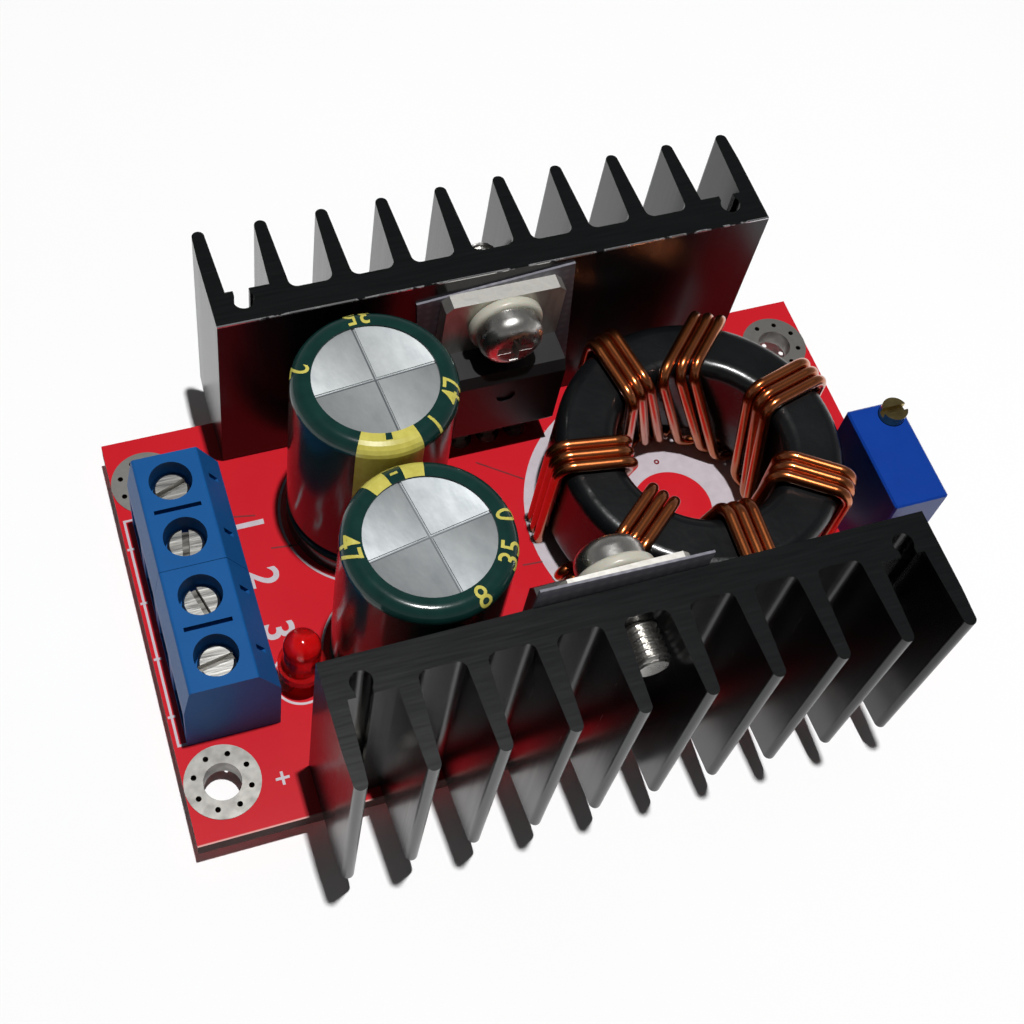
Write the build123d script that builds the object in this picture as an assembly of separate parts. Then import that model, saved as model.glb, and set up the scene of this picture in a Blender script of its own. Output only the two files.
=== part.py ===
from build123d import *
import os
from collections import namedtuple
from math import asin, cos, degrees, hypot, radians, sin

# Step-up converter module. Millimetres, +X along the board, +Y to the rear heatsink, +Z up.
# The origin is under the middle of the board, level with the ends of the soldered leads.

# Gaps between the parts, along the board from its terminal end and across it from the front
terminal_inset = 1.05
lamp_gap = 0.6
lamp_capacitor_gap = 0.65
capacitor_device_gap = 1.35
capacitor_coil_gap = 6.8
trimmer_gap = 0.49
trimmer_right_inset = 0.53
front_capacitor_gap = 0.65
capacitor_gap = 0.8
rear_capacitor_gap = 1.05
coil_face_gap = 1.2

# Circuit board
board_thickness = 1.6
lead_proud = 1.8
mounting_inset_x = 3.0
mounting_inset_y = 4.5
mounting_hole = 3.0
mounting_ring = 6.0
mounting_via = 0.45
mounting_via_count = 8
plating = 0.08

# Soldering
wetting_gap = 0.02
hole_margin = 0.15
pad_margin = 0.45
solder_height = 1.1
solder_neck = 0.12
solder_ring = 0.08
solder_waist = 0.22
solder_waist_drop = 0.42

# Heatsinks, both cut from one extrusion
fin_count = 10
fin_pitch = 5.0
fin_edge = 0.6
fin_reach = 6.95
fin_root = 1.5
fin_tip = 1.0
fin_root_radius = 0.7
heatsink_base = 2.4
heatsink_height = 19.7
heatsink_inset = 4.0
heatsink_lift = 0.1
channel_from_end = 2.6
channel_depth = 2.1
channel_mouth = 1.25
channel_lip = 0.7
heatsink_pin = 1.6
heatsink_pin_rise = 5.5
heatsink_pin_bevel = 0.15

# Power devices, measured from the screw's axis and from the heatsink's face
rear_screw_height = 15.4
front_screw_height = 17.0
tab_width = 10.16
tab_thickness = 1.3
tab_above_screw = 2.8
tab_hole = 3.8
tab_length = 6.4
tab_corner = 0.6
moulding_width = 10.0
moulding_length = 9.2
moulding_depth = 4.5
moulding_slope = 0.5
moulding_setback = 0.05
tongue_margin = 0.9
dimple = 1.6
dimple_depth = 0.2
dimple_rise = 1.5
device_lead_pitch = 2.54
device_lead_width = 0.8
device_lead_depth = 0.5
device_lead_plane = 2.4
device_lead_shoulder = 1.3
device_lead_shoulder_length = 2.2
device_lead_root = 1.8

# Insulating sheets, shoulder washers and screws
sheet_width = 13.3
sheet_length = 17.0
sheet_thickness = 0.2
sheet_hole = 4.2
rear_sheet_rise = 3.1
front_sheet_rise = 4.9
rear_sheet_tilt = 6.0
front_sheet_tilt = 2.5
rear_sheet_shift = 0.2
front_sheet_shift = -0.9
washer_flange = 6.2
washer_thickness = 1.0
washer_edge = 0.35
washer_shoulder = 3.7
washer_shoulder_length = 0.9
screw_thread = 3.0
screw_length = 8.0
screw_head = 5.4
screw_head_height = 2.1
screw_recess_width = 0.75
screw_recess_span = 3.0
screw_recess_depth = 1.2
screw_recess_taper = 14
screw_crown = 1.3
screw_point = 0.4
screw_gap = 0.05

# Electrolytic capacitors
can_diameter = 12.5
can_wall = 0.35
can_height = 20.0
can_shoulder = 0.9
can_lip = 1.2
crimp_height = 2.6
crimp_depth = 0.55
crimp_half = 0.7
sleeve_thickness = 0.18
sleeve_curl = 1.4
score_width = 0.28
score_depth = 0.14
rear_score_turn = 5.0
front_score_turn = 10.0
roll_headroom = 1.45
roll_mandrel = 1.4
roll_gap = 0.3
capacitor_lead = 0.65
capacitor_lead_pitch = 5.0

# Ring inductor
core_outer = 23.8
core_inner = 13.8
core_height = 10.0
core_corner = 1.2
core_y = 0.0
core_lift = 1.3
wire = 0.95
wire_gap = 0.1
strand_pitch = 1.0
strand_count = 3
turn_outside = (175, 112, 65, 18, -36, -90, -141)
turn_inside = (178, 124, 88, 21, -38, -88, -141)
finish_angle = -158
most_turn_under = 28
wire_bend = 1.25
wire_exit_bend = 0.75

# Screw terminals, two housings of two ways each
way_pitch = 5.08
ways_per_housing = 2
housing_count = 2
terminal_depth = 7.45
terminal_height = 10.1
terminal_edge = 0.25
terminal_top_near = 0.55
terminal_top_far = 5.75
terminal_knee_near = 6.5
terminal_knee_far = 7.0
terminal_split = 0.04
terminal_well = 3.4
terminal_well_floor = 7.45
terminal_web = 0.5
terminal_screw_x = 3.15
terminal_slot_width = 0.35
terminal_slot_depth = 0.9
terminal_slot_length = 3.7
terminal_notch_width = 0.4
terminal_notch_length = 1.5
terminal_notch_shift = 0.3
entry_width = 3.8
entry_height = 4.3
entry_floor = 0.8
clamp_screw = 2.9
clamp_screw_head_height = 1.3
clamp_screw_top = 8.8
clamp_screw_slot = 0.55
clamp_screw_slot_depth = 0.75
clamp_screw_bevel = 0.2
clamp_screw_turns = (10, 105, 80, 20)
clamp_thread = 2.4
cage_width = 3.5
cage_length = 3.6
cage_height = 4.0
cage_wall = 0.5
cage_cap = 0.8
cage_travel = 2.0
cage_gap = 0.15
contact_gap = 0.05
contact_thickness = 0.5
contact_width = 2.0
terminal_pin = 1.0

# Trimmer
trimmer_length = 9.53
trimmer_width = 4.83
trimmer_height = 10.3
trimmer_wall = 0.6
trimmer_front_inset = 8.65
trimmer_base_thickness = 1.0
trimmer_foot = 0.25
trimmer_foot_width = 1.0
trimmer_bevel = 0.15
trimmer_pin_head = 0.4
trimmer_screw_collar = 0.5
trimmer_pin = 0.5
trimmer_pin_pitch = 2.54
trimmer_screw_corner = 1.27
trimmer_screw_head = 2.2
trimmer_screw_proud = 1.0
trimmer_screw_slot = 0.55
trimmer_screw_slot_depth = 0.6
trimmer_worm = 1.2
trimmer_screw_gap = 0.04
rotor_diameter = 5.6
rotor_thickness = 1.0
rotor_axle = 1.6
rotor_height = 5.2
rotor_gap = 0.1
element_thickness = 0.6

# Pilot lamp
lamp_front_inset = 11.25
lamp_diameter = 3.0
lamp_flange = 3.8
lamp_flange_height = 0.9
lamp_height = 5.2
lamp_standoff = 2.3
lamp_lead = 0.5
lamp_lead_pitch = 2.54
lamp_inner_pitch = 1.0
lamp_crank = 0.25
lamp_post = 0.9
lamp_cup = 0.8

# Parts soldered flat under the board
chip_length = 4.9
chip_width = 3.9
chip_thickness = 1.35
chip_standoff = 0.1
chip_lead_pitch = 1.27
chip_leads_per_side = 4
chip_span = 6.0
chip_lead_width = 0.42
chip_lead_thickness = 0.2
chip_knee = 0.35
chip_bevel = 0.2
chip_dimple = 0.45
chip_dimple_depth = 0.1
chip_from_capacitor = 7.5
controller_y = -3.5
regulator_y = 4.4
shunt_from_core = 4.2
shunt_front_inset = 6.95
shunt_length = 6.3
shunt_width = 3.2
shunt_thickness = 0.6
small_part_length = 2.0
small_part_width = 1.25
resistor_thickness = 0.5
ceramic_thickness = 0.9
small_part_cap = 0.4
small_part_pitch = 2.1
resistor_count = 5
ceramic_count = 4
resistor_row_inset = 2.3
ceramic_row_inset = 2.6
small_row_from_capacitor = 3.3

# Widths worked out from the sizes above
sleeve_diameter = can_diameter + 2 * (wetting_gap + sleeve_thickness)
wire_offset = wire / 2 + wire_gap
coil_diameter = core_outer + 2 * wire_offset + wire
capacitor_rows = front_capacitor_gap + sleeve_diameter + capacitor_gap + sleeve_diameter + rear_capacitor_gap
face_y = max(capacitor_rows / 2, coil_diameter / 2 + coil_face_gap)
board_width = 2 * (face_y + heatsink_inset)

# Places along the board, each from its neighbour's
terminal_end = terminal_inset + terminal_depth
lamp_start = terminal_end + lamp_gap
capacitor_start = lamp_start + lamp_flange + lamp_capacitor_gap
capacitor_end = capacitor_start + sleeve_diameter
coil_start = capacitor_end + capacitor_coil_gap
trimmer_start = coil_start + coil_diameter + trimmer_gap
board_length = trimmer_start + trimmer_width + trimmer_right_inset
board_end = -board_length / 2
terminal_x = board_end + terminal_inset
lamp_x = board_end + lamp_start + lamp_flange / 2
capacitor_x = board_end + capacitor_start + sleeve_diameter / 2
core_x = board_end + coil_start + coil_diameter / 2
trimmer_x = board_end + trimmer_start + trimmer_width / 2
device_x = board_end + capacitor_end + capacitor_device_gap + moulding_width / 2
chip_x = capacitor_x + chip_from_capacitor
small_row_x = capacitor_x + small_row_from_capacitor
shunt_x = core_x - shunt_from_core

# Places across the board
lamp_y = -board_width / 2 + lamp_front_inset
rear_capacitor_y = face_y - rear_capacitor_gap - sleeve_diameter / 2
front_capacitor_y = -face_y + front_capacitor_gap + sleeve_diameter / 2
trimmer_y = -board_width / 2 + trimmer_front_inset + trimmer_length / 2
shunt_y = -board_width / 2 + shunt_front_inset

# Heights and places in the parts
board_under = lead_proud
board_top = lead_proud + board_thickness
heatsink_length = fin_pitch * (fin_count - 1) + 2 * fin_edge
heatsink_depth = heatsink_base + fin_reach
heatsink_foot = board_top + heatsink_lift
tab_back = sheet_thickness
tab_front = tab_back + tab_thickness
moulding_top = tab_above_screw - tab_length
moulding_bottom = moulding_top - moulding_length
lead_back = tab_back + device_lead_plane
lead_middle = lead_back + device_lead_depth / 2
resistor_row_y = face_y - lead_middle - resistor_row_inset
ceramic_row_y = -face_y + lead_middle + ceramic_row_inset
head_seat = tab_front + washer_thickness
can_radius = can_diameter / 2
can_bore = can_radius - can_wall
can_foot = sleeve_thickness + wetting_gap
groove_low = crimp_height - crimp_half
groove_high = crimp_height + crimp_half
roll_low = groove_high + roll_gap
housing_length = ways_per_housing * way_pitch
screw_axis_x = terminal_x + terminal_screw_x
contact_leg_x = screw_axis_x + cage_length / 2 + cage_gap
contact_low = entry_floor + cage_wall + cage_travel + contact_gap
clamp_screw_under = clamp_screw_top - clamp_screw_head_height
clamp_screw_end = contact_low + contact_thickness + contact_gap
trimmer_screw_x = trimmer_x + trimmer_width / 2 - trimmer_screw_corner
trimmer_screw_y = trimmer_y + trimmer_length / 2 - trimmer_screw_corner
core_bottom = board_top + core_lift
core_top = core_bottom + core_height
wire_outer_radius = core_outer / 2 + wire_offset
wire_inner_radius = core_inner / 2 - wire_offset

# A soldered lead: its place on the board and its section, round when depth is nought
Lead = namedtuple("Lead", "x y width depth")


def post(x, y, low, high, diameter):
    """An upright round bar between two heights."""
    return Pos(x, y, low) * extrude(Circle(diameter / 2), high - low)


def slab(x, y, length, width, low, high):
    """An upright square-edged bar, centred on its place."""
    return Pos(x, y, low) * extrude(Rectangle(length, width), high - low)


def block(x_low, x_high, y_low, y_high, low, high):
    """A square-edged bar between two corners."""
    middle_x = (x_low + x_high) / 2
    middle_y = (y_low + y_high) / 2
    return slab(middle_x, middle_y, x_high - x_low, y_high - y_low, low, high)


def disc_along_y(y_low, y_high, diameter):
    """A round bar on the local Y axis."""
    return Pos(0, y_low, 0) * Rot(-90, 0, 0) * extrude(Circle(diameter / 2), y_high - y_low)


def straight(*points):
    """Straight runs through (radius, height) points, for a turned outline."""
    return Polyline(*[(r, 0, z) for r, z in points])


def bend(*points):
    """An arc through three (radius, height) points, for a turned outline."""
    return ThreePointArc(*[(r, 0, z) for r, z in points])


def turned(outline):
    """The solid that a closed outline sweeps about Z."""
    return revolve(make_face(outline), Axis.Z)


def bar_of(lead, low, high, grow=0.0):
    """The lead's own section between two heights, grown all round."""
    if lead.depth == 0:
        return post(lead.x, lead.y, low, high, lead.width + 2 * grow)
    return slab(lead.x, lead.y, lead.width + 2 * grow, lead.depth + 2 * grow, low, high)


def hole_of(lead):
    """Diameter of the plated hole for a lead."""
    return hypot(lead.width, lead.depth) + 2 * hole_margin


def on_rear(shape, screw_height):
    """Stands a device stack, drawn from the heatsink's face, against the rear heatsink."""
    return Pos(device_x, face_y, board_top + screw_height) * Rot(0, 0, 180) * shape


def on_front(shape, screw_height):
    """Stands a device stack against the front heatsink."""
    return Pos(device_x, -face_y, board_top + screw_height) * shape


# Where leads pass through the board


def heatsink_pin_leads():
    along = heatsink_length / 2 - channel_from_end
    across = face_y + channel_depth
    corners = [(sx * along, sy * across) for sx in (-1, 1) for sy in (-1, 1)]
    return [Lead(device_x + x, y, heatsink_pin, 0) for x, y in corners]


def device_leads():
    across = face_y - lead_middle
    places = [(i * device_lead_pitch, side * across) for side in (-1, 1) for i in (-1, 0, 1)]
    return [Lead(device_x + x, y, device_lead_width, device_lead_depth) for x, y in places]


def capacitor_leads(y):
    return [Lead(capacitor_x, y + side * capacitor_lead_pitch / 2, capacitor_lead, 0) for side in (-1, 1)]


def way_y(way):
    """Y of a terminal way, counted from the front."""
    return (way - (ways_per_housing * housing_count - 1) / 2) * way_pitch


def terminal_leads():
    ways = ways_per_housing * housing_count
    x = contact_leg_x + contact_thickness / 2
    return [Lead(x, way_y(way), contact_thickness, terminal_pin) for way in range(ways)]


def trimmer_leads():
    return [Lead(trimmer_x, trimmer_y + i * trimmer_pin_pitch, trimmer_pin, 0) for i in (-1, 0, 1)]


def lamp_leads():
    return [Lead(lamp_x + side * lamp_lead_pitch / 2, lamp_y, lamp_lead, lamp_lead) for side in (-1, 1)]


def run_angles(outside, inside, strand):
    """Where one strand of a run meets the outer and inner circles: the strands of a run lie parallel."""
    turn = radians(inside - outside)
    reach = hypot(wire_outer_radius - wire_inner_radius * cos(turn), wire_inner_radius * sin(turn))
    from_middle = wire_outer_radius * wire_inner_radius * sin(turn) / reach
    heading = outside - degrees(asin(from_middle / wire_outer_radius))
    offset = from_middle + (strand - (strand_count - 1) / 2) * strand_pitch
    return [heading + degrees(asin(offset / radius)) for radius in (wire_outer_radius, wire_inner_radius)]


def under_angles(inside, outside, strand):
    """The same for a run under the core, which takes up half of the step to the next turn."""
    return run_angles(outside, outside + min(most_turn_under, (inside - outside) / 2), strand)


def ring_point(radius, angle, z):
    return (core_x + radius * cos(radians(angle)), core_y + radius * sin(radians(angle)), z)


def winding_leads(start):
    """The strands' ends at the start or the finish of the winding."""
    places = []
    for strand in range(strand_count):
        if start:
            angle = run_angles(turn_outside[0], turn_inside[0], strand)[0]
        else:
            angle = under_angles(turn_inside[-1], finish_angle, strand)[0]
        x, y, _ = ring_point(wire_outer_radius, angle, 0)
        places.append(Lead(x, y, wire, 0))
    return places


def standing_leads():
    """Leads whose top pads lie open to view."""
    return heatsink_pin_leads() + device_leads() + lamp_leads()


def seated_leads():
    """Leads under a part that sits down on the board."""
    flat = capacitor_leads(rear_capacitor_y) + capacitor_leads(front_capacitor_y)
    return flat + terminal_leads() + trimmer_leads()


def mounting_places():
    x = board_length / 2 - mounting_inset_x
    y = board_width / 2 - mounting_inset_y
    return [(sx * x, sy * y) for sx in (-1, 1) for sy in (-1, 1)]


def mounting_vias(centre):
    ring = (mounting_hole + mounting_ring) / 4
    step = 360 / mounting_via_count
    angles = [radians((i + 0.5) * step) for i in range(mounting_via_count)]
    return [(centre[0] + ring * cos(a), centre[1] + ring * sin(a)) for a in angles]


# Circuit board


def circuit_board():
    board = slab(0, 0, board_length, board_width, board_under, board_top)
    for lead in standing_leads() + seated_leads():
        board -= post(lead.x, lead.y, board_under, board_top, hole_of(lead))
    for start in (True, False):
        board -= extrude(winding_slot(start, wire + 2 * hole_margin, board_under), board_thickness)
    for centre in mounting_places():
        board -= post(*centre, board_under, board_top, mounting_hole + 2 * (plating + wetting_gap))
        for via in mounting_vias(centre):
            board -= post(*via, board_under, board_top, mounting_via)
    return board


def mounting_rings():
    """Plated corner holes: a tinned ring on each face, joined by the plated wall."""
    rings = []
    for centre in mounting_places():
        wall = post(*centre, board_under, board_top, mounting_hole + 2 * plating)
        low = post(*centre, board_under - plating, board_under, mounting_ring)
        high = post(*centre, board_top, board_top + plating, mounting_ring)
        ring = wall + low + high - post(*centre, board_under - plating, board_top + plating, mounting_hole)
        for via in mounting_vias(centre):
            ring -= post(*via, board_under - plating, board_top + plating, mounting_via)
        rings.append(ring)
    return Compound(rings)


def winding_slot(start, width, height):
    """The slot that takes one end of the winding, all strands side by side."""
    places = winding_leads(start)
    row = Vector(places[-1].x - places[0].x, places[-1].y - places[0].y, 0)
    middle = places[len(places) // 2]
    turn = Vector(1, 0, 0).get_signed_angle(row, Vector(0, 0, 1))
    return Pos(middle.x, middle.y, height) * Rot(0, 0, turn) * SlotCenterToCenter(row.length, width)


def solder_cone(lead, ringed):
    """Solder that fills the plated hole and tapers down the lead, hollow where the lead is."""
    wall = hole_of(lead) / 2 - wetting_gap
    pad = wall + pad_margin
    neck = max(lead.width, lead.depth) / 2 + solder_neck
    tip = board_under - solder_height
    high = board_top + (solder_ring if ringed else 0)
    outline = straight((0, tip), (neck, tip))
    waist = (neck + solder_waist * (pad - neck), board_under - solder_waist_drop * solder_height)
    outline += bend((neck, tip), waist, (pad, board_under))
    outline += straight((pad, board_under), (wall, board_under), (wall, board_top))
    if ringed:
        outline += straight((wall, board_top), (pad, board_top), (pad, high), (wall, high))
    outline += straight((wall, high), (0, high), (0, tip))
    body = turned(outline)
    return Pos(lead.x, lead.y, 0) * body - bar_of(lead, tip, high, wetting_gap)


def winding_solder(start):
    """One solder bank round all strands at an end of the winding."""
    bore = wire + 2 * hole_margin
    tip = board_under - solder_height
    ends = [winding_slot(start, bore, tip), winding_slot(start, bore + 2 * pad_margin, board_under)]
    fill = extrude(winding_slot(start, bore - 2 * wetting_gap, board_under), board_thickness)
    solder = loft(Sketch() + ends) + fill
    for lead in winding_leads(start):
        solder -= bar_of(lead, tip, board_top, wetting_gap)
    return solder


def solder_joints():
    joints = [solder_cone(lead, True) for lead in standing_leads()]
    joints += [solder_cone(lead, False) for lead in seated_leads()]
    joints += [winding_solder(start) for start in (True, False)]
    return Compound(joints)


# Heatsinks


def fin_outline():
    """One fin on the base line: flared root, tapered flanks, round tip."""
    root = fin_root / 2
    tip = fin_tip / 2
    flare = fin_root_radius
    bend = flare * (1 - cos(radians(45)))
    foot = Line((-root - flare, 0), (root + flare, 0))
    flare_right = ThreePointArc((root + flare, 0), (root + bend, bend), (root, flare))
    flank_right = Line((root, flare), (tip, fin_reach - tip))
    crown = ThreePointArc((tip, fin_reach - tip), (0, fin_reach), (-tip, fin_reach - tip))
    flank_left = Line((-tip, fin_reach - tip), (-root, flare))
    flare_left = ThreePointArc((-root, flare), (-root - bend, bend), (-root - flare, 0))
    return make_face(foot + flare_right + flank_right + crown + flank_left + flare_left)


def heatsink_section():
    """The extrusion's section: X along the heatsink, Y outwards from the device face."""
    section = Pos(0, heatsink_base / 2) * Rectangle(heatsink_length, heatsink_base)
    for i in range(fin_count):
        section += Pos((i - (fin_count - 1) / 2) * fin_pitch, heatsink_base) * fin_outline()
    lip_top = heatsink_base + channel_lip
    for side in (-1, 1):
        first_gap = side * (heatsink_length / 2 - fin_edge - fin_pitch / 2)
        channel = side * (heatsink_length / 2 - channel_from_end)
        section += Pos(first_gap, lip_top / 2) * Rectangle(fin_pitch, lip_top)
        section -= Pos(channel, channel_depth) * Circle(heatsink_pin / 2 + wetting_gap)
        section -= Pos(channel, (channel_depth + heatsink_depth) / 2) * Rectangle(
            channel_mouth, heatsink_depth - channel_depth)
    return section & Pos(0, heatsink_depth / 2) * Rectangle(heatsink_length, heatsink_depth)


def heatsink(screw_height):
    """A cut of the extrusion, drilled and tapped for its device's screw."""
    body = extrude(heatsink_section(), heatsink_height)
    tapped = disc_along_y(0, heatsink_base + fin_root_radius, screw_thread + 2 * screw_gap)
    return body - Pos(0, 0, screw_height - heatsink_lift) * tapped


def rear_heatsink():
    return Pos(device_x, face_y, heatsink_foot) * heatsink(rear_screw_height)


def front_heatsink():
    return Pos(device_x, -face_y, heatsink_foot) * Rot(0, 0, 180) * heatsink(front_screw_height)


def heatsink_pins(side):
    """The two solder pins pressed into a heatsink's channels."""
    pins = []
    for lead in heatsink_pin_leads():
        if lead.y * side > 0:
            pin = post(lead.x, lead.y, 0, board_top + heatsink_pin_rise, heatsink_pin)
            pins.append(chamfer(pin.edges().filter_by(GeomType.CIRCLE), heatsink_pin_bevel))
    return Compound(pins)


# Power devices


def device_tab(foot):
    """Metal tab with its screw hole, and the middle lead, one stamped piece."""
    plate = block(-tab_width / 2, tab_width / 2, tab_back, tab_front, moulding_top, tab_above_screw)
    top_corners = plate.edges().filter_by(Axis.Y).sort_by(Axis.Z)[-2:]
    plate = chamfer(top_corners, tab_corner)
    tongue_half = moulding_width / 2 - tongue_margin
    tongue_foot = moulding_bottom + tongue_margin
    tongue = block(-tongue_half, tongue_half, tab_back, tab_front, tongue_foot, moulding_top)
    step = block(-device_lead_width, device_lead_width, tab_back, lead_back + device_lead_depth,
                 tongue_foot, tongue_foot + tongue_margin)
    tab = plate + tongue + step + lead_strip(0, foot)
    return tab - disc_along_y(tab_back, tab_front, tab_hole)


def lead_strip(x, foot):
    """One flat lead: wide shoulder below the moulding, narrow down to the board."""
    middle = lead_back + device_lead_depth / 2
    inner = moulding_bottom + device_lead_root
    shoulder_foot = moulding_bottom - device_lead_shoulder_length
    narrow = slab(x, middle, device_lead_width, device_lead_depth, foot, inner)
    return narrow + slab(x, middle, device_lead_shoulder, device_lead_depth, shoulder_foot, moulding_bottom)


def device_outer_leads(foot):
    return Compound([lead_strip(side * device_lead_pitch, foot) for side in (-1, 1)])


def device_moulding(foot):
    """Moulded body, hollow where the tab's tongue and the leads run in it."""
    top = moulding_top
    bottom = moulding_bottom
    front = tab_back + moulding_depth
    back = tab_back + moulding_setback
    side = make_face(Polyline(
        (0, back, bottom), (0, front - moulding_slope, bottom), (0, front, bottom + 2 * moulding_slope),
        (0, front, top - 2 * moulding_slope), (0, front - moulding_slope, top), (0, back, top), close=True))
    body = extrude(side, moulding_width / 2, both=True)
    body -= Pos(0, 0, (top + bottom) / 2 + dimple_rise) * disc_along_y(front - dimple_depth, front, dimple)
    return body - device_tab(foot) - device_outer_leads(foot)


def insulating_sheet(rise, tilt, shift):
    """Thin sheet between tab and heatsink, a little askew, with a hole for the screw."""
    half = sheet_width / 2
    sheet = block(shift - half, shift + half, 0, sheet_thickness, rise - sheet_length, rise)
    return Rot(0, tilt, 0) * (sheet - disc_along_y(0, sheet_thickness, sheet_hole))


def shoulder_washer():
    """Moulded washer: flange under the screw's head, shoulder in the tab's hole."""
    flange = disc_along_y(tab_front, head_seat, washer_flange)
    rims = flange.edges().filter_by(GeomType.CIRCLE)
    flange = fillet(rims, washer_edge)
    body = flange + disc_along_y(tab_front - washer_shoulder_length, tab_front, washer_shoulder)
    return body - disc_along_y(tab_front - washer_shoulder_length, head_seat, screw_thread + 2 * screw_gap)


def device_screw():
    """Pan-head machine screw with a cross recess."""
    top = head_seat + screw_head_height
    head = disc_along_y(head_seat, top, screw_head)
    head = fillet(head.edges().filter_by(GeomType.CIRCLE).sort_by(Axis.Y)[-1], screw_crown)
    for turn in (0, 90):
        slot = Rectangle(screw_recess_width, screw_recess_span)
        cut = extrude(slot, screw_recess_depth, taper=screw_recess_taper)
        head -= Pos(0, top, 0) * Rot(90, 0, 0) * Rot(0, 0, turn) * cut
    shank = disc_along_y(head_seat - screw_length, head_seat, screw_thread)
    shank = chamfer(shank.edges().filter_by(GeomType.CIRCLE).sort_by(Axis.Y)[0], screw_point)
    return head + shank


# Electrolytic capacitors, drawn from the board's top


def can_shell(score_turn):
    """Drawn aluminium can: scored flat top, crimped groove, lip rolled under the bung."""
    outer = can_radius
    inner = can_bore
    top = can_height
    ceiling = top - can_wall
    lip = can_radius - can_lip
    sagitta = can_shoulder * (1 - cos(radians(45)))
    outline = straight((lip, can_foot), (outer, can_foot), (outer, groove_low))
    outline += bend((outer, groove_low), (outer - crimp_depth, crimp_height), (outer, groove_high))
    outline += straight((outer, groove_high), (outer, top - can_shoulder))
    middle = (outer - sagitta, top - sagitta)
    outline += bend((outer, top - can_shoulder), middle, (outer - can_shoulder, top))
    outline += straight((outer - can_shoulder, top), (0, top), (0, ceiling), (inner - can_shoulder, ceiling),
                        (inner, ceiling - can_shoulder), (inner, groove_high))
    outline += bend((inner, groove_high), (inner - crimp_depth, crimp_height), (inner, groove_low))
    lip_top = can_foot + can_wall
    outline += straight((inner, groove_low), (inner, lip_top), (lip, lip_top), (lip, can_foot))
    shell = turned(outline)
    for turn in (0, 90):
        score = slab(0, 0, 2 * (can_radius - sleeve_curl), score_width, top - score_depth, top)
        shell -= Rot(0, 0, score_turn + turn) * score
    return shell


def can_sleeve():
    """Shrunk plastic sleeve: follows the can and curls in over its top and bottom rims."""
    inner = can_radius + wetting_gap
    outer = inner + sleeve_thickness
    top = can_height + wetting_gap
    over = top + sleeve_thickness
    sagitta = can_shoulder * (1 - cos(radians(45)))
    corner = can_shoulder + sleeve_thickness
    rise = corner * (1 - cos(radians(45)))
    low = can_foot - wetting_gap
    curl = can_radius - sleeve_curl
    outline = straight((curl, 0), (outer, 0), (outer, groove_low))
    outline += bend((outer, groove_low), (outer - crimp_depth, crimp_height), (outer, groove_high))
    outline += straight((outer, groove_high), (outer, over - corner))
    outline += bend((outer, over - corner), (outer - rise, over - rise), (outer - corner, over))
    outline += straight((outer - corner, over), (curl, over), (curl, top), (inner - can_shoulder, top))
    middle = (inner - sagitta, top - sagitta)
    outline += bend((inner - can_shoulder, top), middle, (inner, top - can_shoulder))
    outline += straight((inner, top - can_shoulder), (inner, groove_high))
    outline += bend((inner, groove_high), (inner - crimp_depth, crimp_height), (inner, groove_low))
    outline += straight((inner, groove_low), (inner, low), (curl, low), (curl, 0))
    return turned(outline)


def can_bung():
    """Rubber seal, gripped by the crimped groove, with a hole for each lead."""
    mouth = can_radius - can_lip - wetting_gap
    bore = can_bore - wetting_gap
    waist = bore - crimp_depth
    seat = can_foot + can_wall + wetting_gap
    bung = turned(straight(
        (0, can_foot), (mouth, can_foot), (mouth, seat), (bore, seat), (bore, groove_low),
        (waist, groove_low), (waist, roll_low), (0, roll_low), (0, can_foot)))
    for side in (-1, 1):
        y = side * capacitor_lead_pitch / 2
        bung -= post(0, y, can_foot, roll_low, capacitor_lead + 2 * wetting_gap)
    return bung


def can_roll():
    """Wound foil and paper, with the hole that the winding mandrel leaves."""
    high = can_height - can_wall - roll_headroom
    roll = post(0, 0, roll_low, high, 2 * (can_bore - crimp_depth))
    return roll - post(0, 0, roll_low, high, roll_mandrel)


def can_leads(y):
    high = board_top + roll_low
    return Compound([post(lead.x, lead.y, 0, high, lead.width) for lead in capacitor_leads(y)])


# Ring inductor


def inductor_core():
    """Coated ring core with rounded edges."""
    outer = core_outer / 2
    inner = core_inner / 2
    section = Pos((outer + inner) / 2, 0) * RectangleRounded(outer - inner, core_height, core_corner)
    ring = revolve(Plane.XZ * section, Axis.Z)
    return Pos(core_x, core_y, core_bottom + core_height / 2) * ring


def winding_strand(strand):
    """One of the wires wound side by side: up outside, over the top, down the hole, back under the core."""
    high = core_top + wire_offset
    low = core_bottom - wire_offset
    feet = turn_outside[1:] + (finish_angle,)
    start = winding_leads(True)[strand]
    finish = winding_leads(False)[strand]
    points = [(start.x, start.y, 0)]
    for up, down, foot in zip(turn_outside, turn_inside, feet):
        outside, inside = run_angles(up, down, strand)
        outside_foot, inside_foot = under_angles(down, foot, strand)
        points.append(ring_point(wire_outer_radius, outside, high))
        points.append(ring_point(wire_inner_radius, inside, high))
        points.append(ring_point(wire_inner_radius, inside_foot, low))
        points.append(ring_point(wire_outer_radius, outside_foot, low))
    points.append((finish.x, finish.y, 0))
    corners = points[1:-1]
    bends = [wire_bend for _ in corners[1:]] + [wire_exit_bend]
    path = FilletPolyline(*points, radius=bends)
    return sweep(Plane(origin=path @ 0, z_dir=path % 0) * Circle(wire / 2), path=path)


# Screw terminals


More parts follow.
